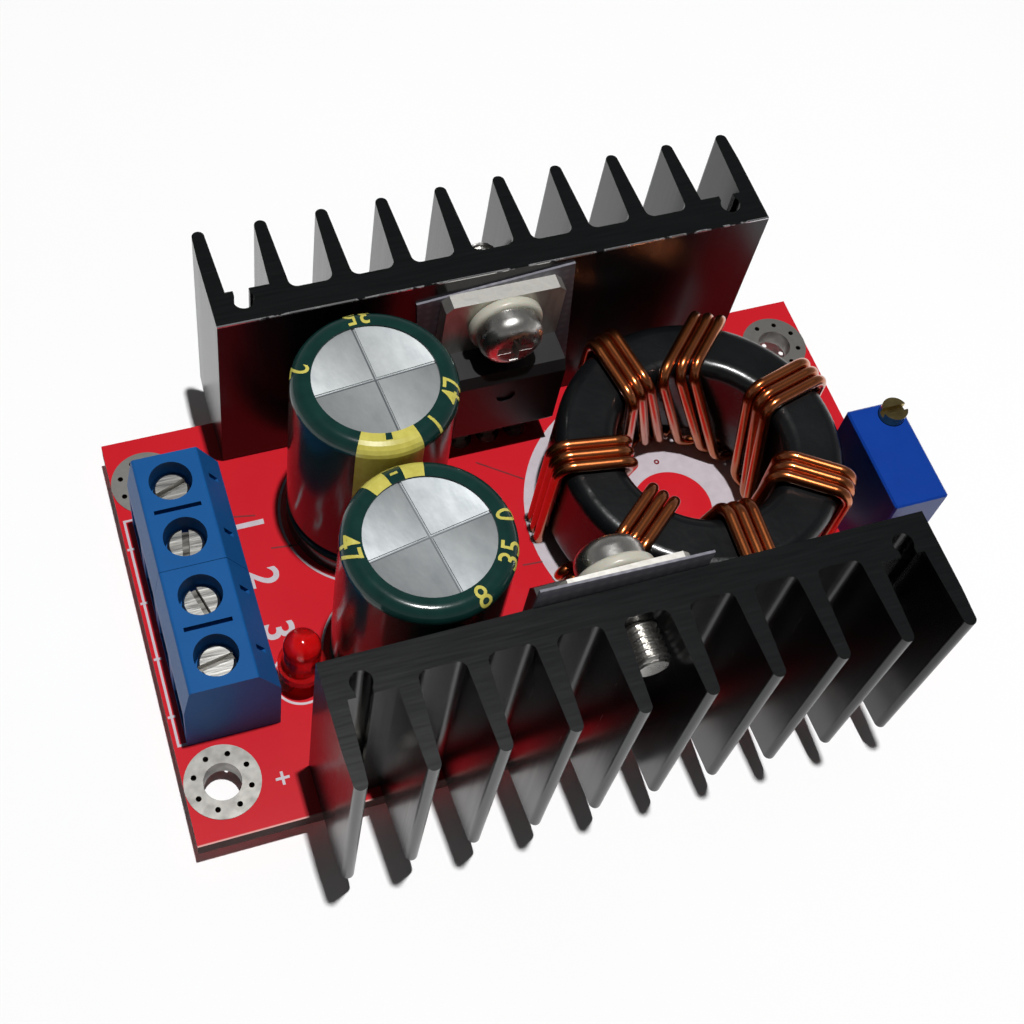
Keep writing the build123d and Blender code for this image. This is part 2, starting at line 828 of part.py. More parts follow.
def terminal_section():
    """Housing seen from its end: upright entry side, sloping back."""
    far = terminal_x + terminal_depth
    section = make_face(Polyline(
        (terminal_x, 0, board_top),
        (terminal_x, 0, board_top + terminal_knee_near),
        (terminal_x + terminal_top_near, 0, board_top + terminal_height),
        (terminal_x + terminal_top_far, 0, board_top + terminal_height),
        (far, 0, board_top + terminal_knee_far),
        (far, 0, board_top),
        close=True))
    raised = section.vertices().filter_by_position(Axis.Z, board_top + terminal_edge, board_top + terminal_height)
    return fillet(raised, terminal_edge)


def terminal_housing(first_way):
    """Moulded housing of two ways: screw wells, wire entries, cage chambers and the slots between."""
    low_y = way_y(first_way) - way_pitch / 2 + terminal_split / 2
    long = housing_length - terminal_split
    body = Pos(0, low_y, 0) * extrude(terminal_section(), long, dir=(0, 1, 0))
    top = board_top + terminal_height
    for way in range(first_way, first_way + ways_per_housing):
        y = way_y(way)
        body -= post(screw_axis_x, y, board_top + terminal_well_floor, top, terminal_well)
        body -= post(screw_axis_x, y, board_top, top, clamp_thread + 2 * cage_gap)
        body -= cage_chamber(y)
        body -= wire_entry(y)
        body -= terminal_notch(y)
    middle = (way_y(first_way) + way_y(first_way + ways_per_housing - 1)) / 2
    slot_low = screw_axis_x - terminal_slot_length / 2
    body -= block(slot_low, slot_low + terminal_slot_length, middle - terminal_slot_width / 2,
                  middle + terminal_slot_width / 2, top - terminal_slot_depth, top)
    return body


def cage_chamber(y):
    """Space in which a clamp cage rises, with room behind it for the contact's leg."""
    half_y = cage_width / 2 + cage_gap
    half_x = cage_length / 2 + cage_gap
    low = board_top + entry_floor
    high = board_top + terminal_well_floor - terminal_web
    far = contact_leg_x + contact_thickness + wetting_gap
    room = block(screw_axis_x - half_x, far, y - half_y, y + half_y, low, high)
    half_pin = terminal_pin / 2 + wetting_gap
    return room + block(contact_leg_x - wetting_gap, far, y - half_pin, y + half_pin, board_top, low)


def wire_entry(y):
    """The mouth that a wire's end goes in by, on the board's outer side."""
    half = entry_width / 2
    low = board_top + entry_floor
    return block(terminal_x, screw_axis_x, y - half, y + half, low, low + entry_height)


def terminal_notch(y):
    """Shallow test notch on the sloping back, one to each way."""
    slope_x = terminal_depth - terminal_top_far
    slope_z = terminal_height - terminal_knee_far
    middle_x = terminal_x + terminal_top_far + slope_x / 2
    middle_z = board_top + terminal_knee_far + slope_z / 2
    tilt = Vector(1, 0, 0).get_angle(Vector(slope_x, 0, slope_z))
    cut = Box(terminal_notch_length, terminal_notch_width, 2 * terminal_notch_width)
    return Pos(middle_x, y + terminal_notch_shift, middle_z) * Rot(0, tilt, 0) * cut


def clamp_screw_of(way):
    """Slotted clamp screw: head in its well, thread down through the cage's top."""
    y = way_y(way)
    top = board_top + clamp_screw_top
    under = board_top + clamp_screw_under
    head = post(screw_axis_x, y, under, top, clamp_screw)
    head = chamfer(head.edges().filter_by(GeomType.CIRCLE).sort_by(Axis.Z)[-1], clamp_screw_bevel)
    slot = Box(2 * clamp_screw, clamp_screw_slot, 2 * clamp_screw_slot_depth)
    head -= Pos(screw_axis_x, y, top) * Rot(0, 0, clamp_screw_turns[way]) * slot
    return head + post(screw_axis_x, y, board_top + clamp_screw_end, under, clamp_thread)


def clamp_cage(way):
    """Rising cage, lowered: a folded frame, open to the wire entry, tapped for the screw at its top."""
    y = way_y(way)
    low = board_top + entry_floor
    high = low + cage_height
    ceiling = high - cage_cap
    cage = slab(screw_axis_x, y, cage_length, cage_width, low, high)
    cage -= slab(screw_axis_x, y, cage_length, cage_width - 2 * cage_wall, low + cage_wall, ceiling)
    return cage - post(screw_axis_x, y, ceiling, high, clamp_thread + 2 * screw_gap)


def contact_of(way):
    """Fixed contact: a plate that the cage draws the wire up against, and its soldered leg."""
    y = way_y(way)
    low = board_top + contact_low
    seat = board_top + entry_floor
    leg_x = contact_leg_x + contact_thickness / 2
    near = screw_axis_x - cage_length / 2
    far = contact_leg_x + contact_thickness
    half = contact_width / 2
    plate = block(near, far, y - half, y + half, low, low + contact_thickness)
    leg = slab(leg_x, y, contact_thickness, contact_width, seat, low)
    return plate + leg + slab(leg_x, y, contact_thickness, terminal_pin, 0, seat)


# Trimmer


def trimmer_room():
    """Corners of the space inside the trimmer's case, above its sealed base."""
    half_x = trimmer_width / 2 - trimmer_wall
    half_y = trimmer_length / 2 - trimmer_wall
    low = board_top + trimmer_base_thickness
    high = board_top + trimmer_height - trimmer_wall
    return (trimmer_x - half_x, trimmer_x + half_x, trimmer_y - half_y, trimmer_y + half_y, low, high)


def trimmer_case():
    """Moulded case, open at the bottom, with the screw's bore and the rotor's axle."""
    x_low, x_high, y_low, y_high, low, high = trimmer_room()
    top = board_top + trimmer_height
    case = slab(trimmer_x, trimmer_y, trimmer_width, trimmer_length, board_top, top)
    case = chamfer(case.edges().filter_by(Axis.Z) + case.edges().group_by(Axis.Z)[-1], trimmer_bevel)
    case -= block(x_low, x_high, y_low, y_high, board_top, high)
    bore_foot = high - trimmer_screw_collar - rotor_gap
    case -= post(trimmer_screw_x, trimmer_screw_y, bore_foot, top, trimmer_screw_head + 2 * trimmer_screw_gap)
    axle_length = rotor_gap + rotor_thickness + rotor_gap
    axle = extrude(Circle(rotor_axle / 2), axle_length)
    return case + rotor_place(x_high - axle_length) * axle


def rotor_place(x):
    """The rotor's axis runs along X, with the rotor's rim beside the worm."""
    y = trimmer_screw_y - trimmer_worm / 2 - trimmer_screw_gap - rotor_diameter / 2
    return Pos(x, y, board_top + rotor_height) * Rot(0, 90, 0)


def trimmer_base():
    """Sealed base, with a hole for each pin and feet at the ends."""
    x_low, x_high, y_low, y_high, low, _ = trimmer_room()
    length = x_high - x_low - 2 * wetting_gap
    width = y_high - y_low - 2 * wetting_gap
    base = slab(trimmer_x, trimmer_y, length, width, board_top + trimmer_foot, low)
    for side in (-1, 1):
        y = trimmer_y + side * (width - trimmer_foot_width) / 2
        base += slab(trimmer_x, y, length, trimmer_foot_width, board_top, low)
    for lead in trimmer_leads():
        base -= post(lead.x, lead.y, board_top, low, trimmer_pin + 2 * wetting_gap)
    return base


def trimmer_pins():
    high = board_top + trimmer_base_thickness + trimmer_pin_head
    return Compound([post(lead.x, lead.y, 0, high, trimmer_pin) for lead in trimmer_leads()])


def trimmer_element():
    """Resistive track's ceramic plate, beside the rotor's wiper."""
    _, x_high, y_low, _, low, high = trimmer_room()
    x = x_high - 3 * rotor_gap - rotor_thickness
    y_high = trimmer_screw_y - trimmer_screw_head / 2 - rotor_gap
    foot = low + trimmer_pin_head
    return block(x - element_thickness, x, y_low + rotor_gap, y_high, foot, high - rotor_gap)


def trimmer_rotor():
    """Wheel beside the worm, turning on the case's axle."""
    _, x_high, _, _, _, _ = trimmer_room()
    wheel = Circle(rotor_diameter / 2) - Circle(rotor_axle / 2 + trimmer_screw_gap)
    return rotor_place(x_high - rotor_gap - rotor_thickness) * extrude(wheel, rotor_thickness)


def trimmer_screw():
    """Brass adjusting screw: slotted head proud of the case, shank down beside the rotor."""
    _, _, _, _, low, high = trimmer_room()
    top = board_top + trimmer_height + trimmer_screw_proud
    head_foot = high - trimmer_screw_collar
    head = post(trimmer_screw_x, trimmer_screw_y, head_foot, top, trimmer_screw_head)
    slot_foot = top - trimmer_screw_slot_depth
    head -= slab(trimmer_screw_x, trimmer_screw_y, 2 * trimmer_screw_head, trimmer_screw_slot, slot_foot, top)
    return head + post(trimmer_screw_x, trimmer_screw_y, low + rotor_gap, head_foot, trimmer_worm)


# Pilot lamp


def lamp_lens():
    """Moulded lens: flange, straight side, round crown, and the room of the legs in it."""
    low = board_top + lamp_standoff
    radius = lamp_diameter / 2
    rim = lamp_flange / 2
    step = low + lamp_flange_height
    crown = low + lamp_height - radius
    lean = radius * cos(radians(45))
    outline = straight((0, low), (rim, low), (rim, step), (radius, step), (radius, crown))
    outline += bend((radius, crown), (lean, crown + lean), (0, crown + radius))
    outline += straight((0, crown + radius), (0, low))
    return Pos(lamp_x, lamp_y, 0) * turned(outline) - lamp_frame()


def lamp_frame():
    """The two legs, cranked in towards the middle of the lens, one ending in the die's cup."""
    bend_low = board_top + lamp_standoff + lamp_crank
    bend_high = bend_low + lamp_lead
    legs = []
    for lead, side in zip(lamp_leads(), (-1, 1)):
        inner = lamp_x + side * lamp_inner_pitch / 2
        middle = (lead.x + inner) / 2
        leg = bar_of(lead, 0, bend_high)
        leg += slab(middle, lamp_y, abs(lead.x - inner) + lamp_lead, lamp_lead, bend_low, bend_high)
        leg += slab(inner, lamp_y, lamp_lead, lamp_lead, bend_high, bend_high + lamp_post)
        legs.append(leg)
    cup_low = bend_high + lamp_post
    legs[0] += post(lamp_x - lamp_inner_pitch / 2, lamp_y, cup_low, cup_low + lamp_lead, lamp_cup)
    return Compound(legs)


# Parts soldered flat under the board


def chip_package(x, y):
    """Moulded chip body, hung under the board, with the dimple that marks its first leg."""
    high = board_under - chip_standoff
    low = high - chip_thickness
    body = slab(x, y, chip_length, chip_width, low, high)
    body = chamfer(body.edges().group_by(Axis.Z)[0], chip_bevel)
    mark_x = x - chip_length / 2 + 2 * chip_dimple
    mark_y = y - chip_width / 2 + 2 * chip_dimple
    return body - post(mark_x, mark_y, low, low + chip_dimple_depth, chip_dimple)


def chip_legs(x, y):
    """Gull-wing legs along both long sides."""
    thick = chip_lead_thickness
    low = board_under - chip_standoff - (chip_thickness + thick) / 2
    legs = []
    for side in (-1, 1):
        edge = y + side * chip_width / 2
        knee = edge + side * chip_knee
        toe = y + side * chip_span / 2
        for i in range(chip_leads_per_side):
            leg_x = x + (i - (chip_leads_per_side - 1) / 2) * chip_lead_pitch
            leg = slab(leg_x, (edge + knee) / 2, chip_lead_width, chip_knee, low, low + thick)
            leg += slab(leg_x, knee, chip_lead_width, thick, low, board_under)
            foot_y = (knee + toe) / 2
            leg += slab(leg_x, foot_y, chip_lead_width, abs(toe - knee), board_under - thick, board_under)
            legs.append(leg)
    return Compound(legs)


def flat_part(x, y, length_x, length_y, thickness, capped_x):
    """A chip resistor or capacitor: its middle, and the tinned caps at its ends."""
    low = board_under - thickness
    inner_x = length_x - 2 * small_part_cap if capped_x else length_x
    inner_y = length_y if capped_x else length_y - 2 * small_part_cap
    middle = slab(x, y, inner_x, inner_y, low, board_under)
    return middle, slab(x, y, length_x, length_y, low, board_under) - middle


def small_parts(count, row_y, thickness):
    """A row of small parts under the board, returned as middles and caps."""
    places = [small_row_x + i * small_part_pitch for i in range(count)]
    pairs = [flat_part(x, row_y, small_part_width, small_part_length, thickness, False) for x in places]
    return Compound([pair[0] for pair in pairs]), [cap for pair in pairs for cap in pair[1].solids()]


def main():
    rear = rear_screw_height
    front = front_screw_height
    rear_sheet = insulating_sheet(rear_sheet_rise, rear_sheet_tilt, rear_sheet_shift)
    front_sheet = insulating_sheet(front_sheet_rise, front_sheet_tilt, front_sheet_shift)
    rear_foot = -board_top - rear
    front_foot = -board_top - front
    nodes = {
        "circuit_board": circuit_board(),
        "mounting_rings": mounting_rings(),
        "solder_joints": solder_joints(),
        "rear_heatsink": rear_heatsink(),
        "front_heatsink": front_heatsink(),
        "rear_heatsink_pins": heatsink_pins(1),
        "front_heatsink_pins": heatsink_pins(-1),
        "rectifier_tab": on_rear(device_tab(rear_foot), rear),
        "rectifier_outer_leads": on_rear(device_outer_leads(rear_foot), rear),
        "rectifier_moulding": on_rear(device_moulding(rear_foot), rear),
        "transistor_tab": on_front(device_tab(front_foot), front),
        "transistor_outer_leads": on_front(device_outer_leads(front_foot), front),
        "transistor_moulding": on_front(device_moulding(front_foot), front),
        "rear_insulating_sheet": on_rear(rear_sheet, rear),
        "front_insulating_sheet": on_front(front_sheet, front),
        "rear_shoulder_washer": on_rear(shoulder_washer(), rear),
        "front_shoulder_washer": on_front(shoulder_washer(), front),
        "device_screws": Compound([on_rear(device_screw(), rear), on_front(device_screw(), front)]),
        "inductor_core": inductor_core(),
        "trimmer_case": trimmer_case(),
        "trimmer_base": trimmer_base(),
        "trimmer_pins": trimmer_pins(),
        "trimmer_element": trimmer_element(),
        "trimmer_rotor": trimmer_rotor(),
        "trimmer_screw": trimmer_screw(),
        "pilot_lamp_lens": lamp_lens(),
        "pilot_lamp_legs": lamp_frame(),
        "controller_chip": chip_package(chip_x, controller_y),
        "controller_legs": chip_legs(chip_x, controller_y),
        "regulator_chip": chip_package(chip_x, regulator_y),
        "regulator_legs": chip_legs(chip_x, regulator_y),
    }
    capacitors = [("rear", rear_capacitor_y, rear_score_turn), ("front", front_capacitor_y, front_score_turn)]
    for name, y, score_turn in capacitors:
        stand = Pos(capacitor_x, y, board_top)
        nodes[f"{name}_capacitor_can"] = stand * can_shell(score_turn)
        nodes[f"{name}_capacitor_sleeve"] = stand * can_sleeve()
        nodes[f"{name}_capacitor_bung"] = stand * can_bung()
        nodes[f"{name}_capacitor_roll"] = stand * can_roll()
        nodes[f"{name}_capacitor_leads"] = can_leads(y)
    for strand in range(strand_count):
        nodes[f"winding_strand_{strand + 1}"] = winding_strand(strand)
    nodes["output_terminal_housing"] = terminal_housing(0)
    nodes["input_terminal_housing"] = terminal_housing(ways_per_housing)
    ways = range(ways_per_housing * housing_count)
    for way in ways:
        nodes[f"terminal_screw_{way + 1}"] = clamp_screw_of(way)
        nodes[f"terminal_cage_{way + 1}"] = clamp_cage(way)
    nodes["terminal_contacts"] = Compound([contact_of(way) for way in ways])
    resistors, resistor_caps = small_parts(resistor_count, resistor_row_y, resistor_thickness)
    ceramics, ceramic_caps = small_parts(ceramic_count, ceramic_row_y, ceramic_thickness)
    shunt, shunt_caps = flat_part(shunt_x, shunt_y, shunt_length, shunt_width, shunt_thickness, True)
    nodes["small_resistors"] = resistors
    nodes["ceramic_capacitors"] = ceramics
    nodes["current_shunt"] = shunt
    nodes["flat_part_caps"] = Compound(resistor_caps + ceramic_caps + shunt_caps.solids())
    os.makedirs("parts", exist_ok=True)
    for name, shape in nodes.items():
        export_step(shape, f"parts/{name}.step")


main()
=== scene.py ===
from math import cos, pi, radians, sin

import bmesh
import bpy
from mathutils import Euler, Matrix, Vector


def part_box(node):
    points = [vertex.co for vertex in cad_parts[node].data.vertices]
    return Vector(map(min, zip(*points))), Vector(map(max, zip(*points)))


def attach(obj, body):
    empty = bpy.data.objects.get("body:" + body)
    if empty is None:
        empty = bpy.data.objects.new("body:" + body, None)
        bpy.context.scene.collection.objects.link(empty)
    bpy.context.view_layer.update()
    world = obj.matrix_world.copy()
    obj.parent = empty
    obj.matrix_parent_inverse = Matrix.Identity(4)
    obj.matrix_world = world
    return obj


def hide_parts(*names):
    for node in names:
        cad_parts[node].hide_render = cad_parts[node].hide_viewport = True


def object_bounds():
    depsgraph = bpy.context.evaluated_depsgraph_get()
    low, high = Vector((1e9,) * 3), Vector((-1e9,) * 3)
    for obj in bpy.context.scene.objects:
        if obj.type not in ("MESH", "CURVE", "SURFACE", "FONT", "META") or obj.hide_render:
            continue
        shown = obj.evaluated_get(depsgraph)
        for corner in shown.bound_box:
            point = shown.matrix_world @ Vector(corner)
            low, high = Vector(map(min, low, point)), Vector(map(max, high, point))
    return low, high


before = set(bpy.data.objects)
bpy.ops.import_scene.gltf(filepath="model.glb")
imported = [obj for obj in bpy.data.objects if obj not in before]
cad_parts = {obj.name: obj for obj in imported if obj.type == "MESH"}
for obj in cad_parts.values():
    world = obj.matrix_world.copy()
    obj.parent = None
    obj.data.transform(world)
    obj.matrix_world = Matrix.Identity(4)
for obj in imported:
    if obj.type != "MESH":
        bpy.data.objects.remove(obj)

# Looks of a step-up converter module. Shapes are drawn in millimetres and turned to metres at the end.

MM = 0.001
cad_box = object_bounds()

# Where the frame's pieces are, in millimetres
board_low, board_high = (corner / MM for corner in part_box("circuit_board"))
board_top = board_high.z
board_under = board_low.z
lens_low, lens_high = (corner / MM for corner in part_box("pilot_lamp_lens"))
lamp_centre = (lens_low + lens_high) / 2
core_low, core_high = (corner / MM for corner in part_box("inductor_core"))
core_centre = (core_low + core_high) / 2
sink_low, sink_high = (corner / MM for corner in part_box("rear_heatsink"))
screw_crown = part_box("terminal_screw_1")[1].z / MM

# Between which distances from a piece's edge its colour changes: a painted highlight on the board's front
# edge, bright metal patches on the rear heatsink's top edge and painted shade in the screw slots; and the
# slant of the saw lines in degrees
front_glint = (0.08, 0.16)
bright_edge_top = (0.1, 0.14)
bright_edge_face = (0.12, 0.16)
slot_shade = (0.12, 0.45)
saw_slant = 12

# Printed ink, with each capacitor's ring open toward the other capacitor
ink = 0.02
ink_line = 0.2
terminal_line_x = -32.1
terminal_line_ends = (-9.95, 10.45)
terminal_line_stub = 0.8
terminal_ticks = (-7.48, -2.4, 2.68, 7.76)
tick_length = 0.6
capacitor_ring = 7.05
capacitor_ring_gap = 28
capacitor_ring_openings = (("rear", -90), ("front", 90))
lamp_ring = 2.25
inductor_ink_inner = 3.5
inductor_ink_outer = 13.05
way_numbers = ((-22.3, 7.6), (-22.3, 2.5), (-22.3, -2.5))
number_height = 2.6
number_weight = 0.06
number_turn = -90
capital_share = 0.72
outline_steps = 4
outline_weld = 0.0005
sign_places = (("+", -25.0, -14.6), ("-", -21.6, -14.7))
sign_size = 1.1
sign_stroke = 0.22

# Gaps between the copper areas, under the mask
mask_line = 0.14
mask_lines = (
    ((-23.9, 8.75), (-21.4, 8.3)),
    ((-20.9, 4.95), (-18.6, 4.7), (-17.9, 5.4)),
    ((-1.6, 8.57), (1.96, 5.92)),
    ((-0.87, -1.99), (0.86, -2.1)),
)
underside_line = 0.3
underside_lines = (
    ((-31.6, 0.0), (-18.5, 0.0), (-16.0, 1.5), (-9.6, 1.5)),
    ((-31.6, 5.1), (-16.5, 5.1), (-14.9, 6.7), (-10.8, 6.7)),
    ((-31.6, -5.1), (-24.6, -5.1), (-24.6, -9.2), (-18.4, -9.2), (-16.2, -7.2), (-10.8, -7.2)),
    ((-1.2, -14.0), (-1.2, -7.6), (5.4, -7.6), (5.4, -1.4)),
    ((-1.2, 14.0), (-1.2, 6.4), (5.6, 6.4), (5.6, 0.2), (27.2, 0.2), (27.2, -9.2), (31.6, -9.2)),
)
via_diameter = 0.5
via_hole = 0.2
via_places = ((14.0, 4.6),)

# Sleeve print: each band's bearing in degrees, the notch in it, and the numbers with their own bearings
sleeve_prints = (
    ("rear", -95.5, 0.6, (("47", -24), ("1", -56), ("35", 88), ("2", 158))),
    ("front", 101, 1.5, (("47", 175), ("0", 3), ("35", -28), ("8", -68))),
)
sleeve_curl_inner = 4.85
sleeve_corner = 1.1
band_half = 23.5
band_foot = 0.5
band_cell = 0.35
digit_height = 1.8
digit_run = 1.15
digit_weight = 0.015
band_mark = (0.7, 0.22)

# Can tops: how far each cross of scores is turned, and each can's dull and pale metal, the front can's
# darker as painted shade
can_tops = (("rear", 5, "#8B9093", "#D9DDDD"), ("front", 10, "#72777A", "#B4B8B9"))
can_tilt = 0.35
can_swell = 0.3
can_relief = 0.045
score_half = 0.05

# Screw thread
thread_pitch = 0.5
thread_root = 2.45
thread_crest = 2.97
thread_flank = 1.25
thread_steps = 10
thread_sides = 36
tip_inset = 0.05
tip_slope = 0.8
screw_seat = 11.65
seat_margin = 0.01
shank_overlap = 0.3
screw_weld = 0.001

# Table, light and viewpoint, in metres, watts and degrees, with the lens in millimetres
table_radius = 1.5
table_sides = 64
table_fade = (0.09, 0.3)
ambient_light = 0.06
mirrored_walls = 0.3
mirrored_ceiling = 0.06
mirrored_rise = (0.1, 0.75)
lamp_place = (0.016, -0.003, 0.69)
lamp_aim = (0.016, -0.003, 0)
lamp_size = 0.014
lamp_watts = 4.5
camera_place = (-0.036721, -0.055322, 0.123456)
camera_turn = (31.4024, -4.9520, -17.3419)
film_width = 36.0
focal_length = 56.51
film_shift = (0.0808, -0.0705)
nearest_sight = 0.01


# Colours, scales and nodes

def linear(colour):
    """An sRGB hex colour as the linear one that a shader reads."""
    channels = [int(colour[first:first + 2], 16) / 255 for first in (1, 3, 5)]
    return tuple(c / 12.92 if c <= 0.04045 else ((c + 0.055) / 1.055) ** 2.4 for c in channels) + (1.0,)


def grain(millimetres):
    """The texture scale that gives features of that size on an object measured in metres."""
    return 1 / (millimetres * MM)


def add(tree, kind, links=None, **settings):
    """Adds one shader node with its settings, and sets or links its sockets."""
    node = tree.nodes.new("ShaderNode" + kind)
    for setting, value in settings.items():
        setattr(node, setting, value)
    for socket, source in (links or {}).items():
        if isinstance(source, bpy.types.NodeSocket):
            tree.links.new(source, node.inputs[socket])
        else:
            node.inputs[socket].default_value = source
    return node


def start(name):
    """A new material, its empty node tree, and the place of each point on the object."""
    material = bpy.data.materials.new(name)
    material.use_nodes = True
    tree = material.node_tree
    tree.nodes.clear()
    return material, tree, add(tree, "TexCoord").outputs["Object"]


# Finishes

def cured_film_and_glint(tree, place):
    """The mask's own red, clouded a little by its flow, and a pale painted highlight along the front edge.
    """
    flow = add(tree, "TexNoise", {"Vector": place, "Scale": grain(9), "Detail": 3})
    mask = add(tree, "Mix", {0: flow.outputs["Fac"], 6: linear("#C21A26"), 7: linear("#D0222D")},
               data_type="RGBA")
    where = add(tree, "SeparateXYZ", {"Vector": place})
    # Painted highlight: a pale glint along the board's front top edge, mixed into the mask's colour
    glint = add(tree, "MapRange", {
        "Value": where.outputs["Y"], "From Min": (board_low.y + front_glint[1]) * MM,
        "From Max": (board_low.y + front_glint[0]) * MM, "To Max": 0.85})
    film = add(tree, "Mix", {0: glint.outputs[0], 6: mask.outputs[2], 7: linear("#E6B3AC")},
               data_type="RGBA")
    return film.outputs[2]


def solder_mask():
    """Red solder mask, curtain coated over glass laminate: an even gloss film, faintly rippled by the
    weave below, on a board whose milled sides are left as brown resin and glass."""
    material, tree, place = start("red_solder_mask")
    lie = add(tree, "SeparateXYZ", {"Vector": add(tree, "TexCoord").outputs["Normal"]})
    upright = add(tree, "Math", {0: lie.outputs["Z"]}, operation="ABSOLUTE")
    face = add(tree, "MapRange", {"Value": upright.outputs[0], "From Min": 0.3, "From Max": 0.6})
    layers = add(tree, "Mapping", {"Vector": place, "Scale": (0.3, 0.3, 1)})
    fibre = add(tree, "TexNoise", {"Vector": layers.outputs[0], "Scale": grain(0.2), "Detail": 4})
    side = add(tree, "Mix", {0: fibre.outputs["Fac"], 6: linear("#1C0A09"), 7: linear("#4A241E")},
               data_type="RGBA")
    colour = add(tree, "Mix", {0: face.outputs[0], 6: side.outputs[2], 7: cured_film_and_glint(tree, place)},
                 data_type="RGBA")
    gloss = add(tree, "MapRange", {"Value": face.outputs[0], "To Min": 0.65, "To Max": 0.17})
    sheen = add(tree, "MapRange", {"Value": face.outputs[0], "To Min": 0.12, "To Max": 0.5})
    weave = add(tree, "TexVoronoi", {"Vector": place, "Scale": grain(0.55)})
    ripple = add(tree, "Bump", {"Height": weave.outputs["Distance"], "Strength": 0.25,
                                "Distance": 0.003 * MM})
    rough = add(tree, "Bump", {"Height": fibre.outputs["Fac"], "Strength": 0.2,
                               "Distance": 0.01 * MM, "Normal": ripple.outputs[0]})
    shader = add(tree, "BsdfPrincipled", {
        "Base Color": colour.outputs[2], "Roughness": gloss.outputs[0], "IOR": 1.5,
        "Specular IOR Level": sheen.outputs[0], "Normal": rough.outputs[0]})
    add(tree, "OutputMaterial", {"Surface": shader.outputs[0]})
    return material


def dark_mask():
    """Solder mask sunk in a gap between two copper areas: the laminate below makes it a thin dark line."""
    material, tree, place = start("mask_over_bare_laminate")
    blots = add(tree, "TexNoise", {"Vector": place, "Scale": grain(1.2)})
    colour = add(tree, "Mix", {0: blots.outputs["Fac"], 6: linear("#5E1016"), 7: linear("#8C1820")},
                 data_type="RGBA")
    shader = add(tree, "BsdfPrincipled", {"Base Color": colour.outputs[2], "Roughness": 0.35})
    add(tree, "OutputMaterial", {"Surface": shader.outputs[0]})
    return material


def legend_ink():
    """White legend ink, screen printed over red: thin enough to turn faintly mauve, with a dry skin."""
    material, tree, place = start("legend_ink")
    cover = add(tree, "TexNoise", {"Vector": place, "Scale": grain(0.8), "Detail": 5})
    colour = add(tree, "Mix", {0: cover.outputs["Fac"], 6: linear("#B0A5AB"), 7: linear("#C9C1C8")},
                 data_type="RGBA")
    skin = add(tree, "Bump", {"Height": cover.outputs["Fac"], "Strength": 0.3, "Distance": 0.01 * MM})
    shader = add(tree, "BsdfPrincipled", {
        "Base Color": colour.outputs[2], "Roughness": 0.48, "Normal": skin.outputs[0]})
    add(tree, "OutputMaterial", {"Surface": shader.outputs[0]})
    return material


def sleeve_ink():
    """Yellow ink, printed on the film before it was shrunk: it keeps the film's gloss and clouds a bit."""
    material, tree, place = start("yellow_sleeve_ink")
    cover = add(tree, "TexNoise", {"Vector": place, "Scale": grain(0.7), "Detail": 5})
    colour = add(tree, "Mix", {0: cover.outputs["Fac"], 6: linear("#B3A743"), 7: linear("#DAD26E")},
                 data_type="RGBA")
    shader = add(tree, "BsdfPrincipled", {"Base Color": colour.outputs[2], "Roughness": 0.22})
    add(tree, "OutputMaterial", {"Surface": shader.outputs[0]})
    return material


def bright_solder():
    """Tin solder that set as a fillet: mirror bright, with soft wrinkles and duller patches of flux."""
    material, tree, place = start("tin_solder")
    wrinkles = add(tree, "TexNoise", {"Vector": place, "Scale": grain(0.7), "Detail": 4})
    flux = add(tree, "TexNoise", {"Vector": place, "Scale": grain(2.5)})
    colour = add(tree, "Mix", {0: flux.outputs["Fac"], 6: linear("#9C9A92"), 7: linear("#D4D3CE")},
                 data_type="RGBA")
    gloss = add(tree, "MapRange", {"Value": flux.outputs["Fac"], "To Min": 0.42, "To Max": 0.14})
    bump = add(tree, "Bump", {"Height": wrinkles.outputs["Fac"], "Strength": 0.6, "Distance": 0.04 * MM})
    shader = add(tree, "BsdfPrincipled", {
        "Base Color": colour.outputs[2], "Metallic": 1.0, "Roughness": gloss.outputs[0],
        "Normal": bump.outputs[0]})
    add(tree, "OutputMaterial", {"Surface": shader.outputs[0]})
    return material


def levelled_tin():
    """Hot-air levelled tin on the fixing rings: a flat, soft grey metal skin, clouded by duller areas."""
    material, tree, place = start("levelled_tin")
    cloud = add(tree, "TexNoise", {"Vector": place, "Scale": grain(1.1), "Detail": 6})
    colour = add(tree, "Mix", {0: cloud.outputs["Fac"], 6: linear("#5A5855"), 7: linear("#96948F")},
                 data_type="RGBA")
    gloss = add(tree, "MapRange", {"Value": cloud.outputs["Fac"], "To Min": 0.6, "To Max": 0.3})
    bump = add(tree, "Bump", {"Height": cloud.outputs["Fac"], "Strength": 0.4, "Distance": 0.03 * MM})
    shader = add(tree, "BsdfPrincipled", {
        "Base Color": colour.outputs[2], "Metallic": 0.85, "Roughness": gloss.outputs[0],
        "Normal": bump.outputs[0]})
    add(tree, "OutputMaterial", {"Surface": shader.outputs[0]})
    return material


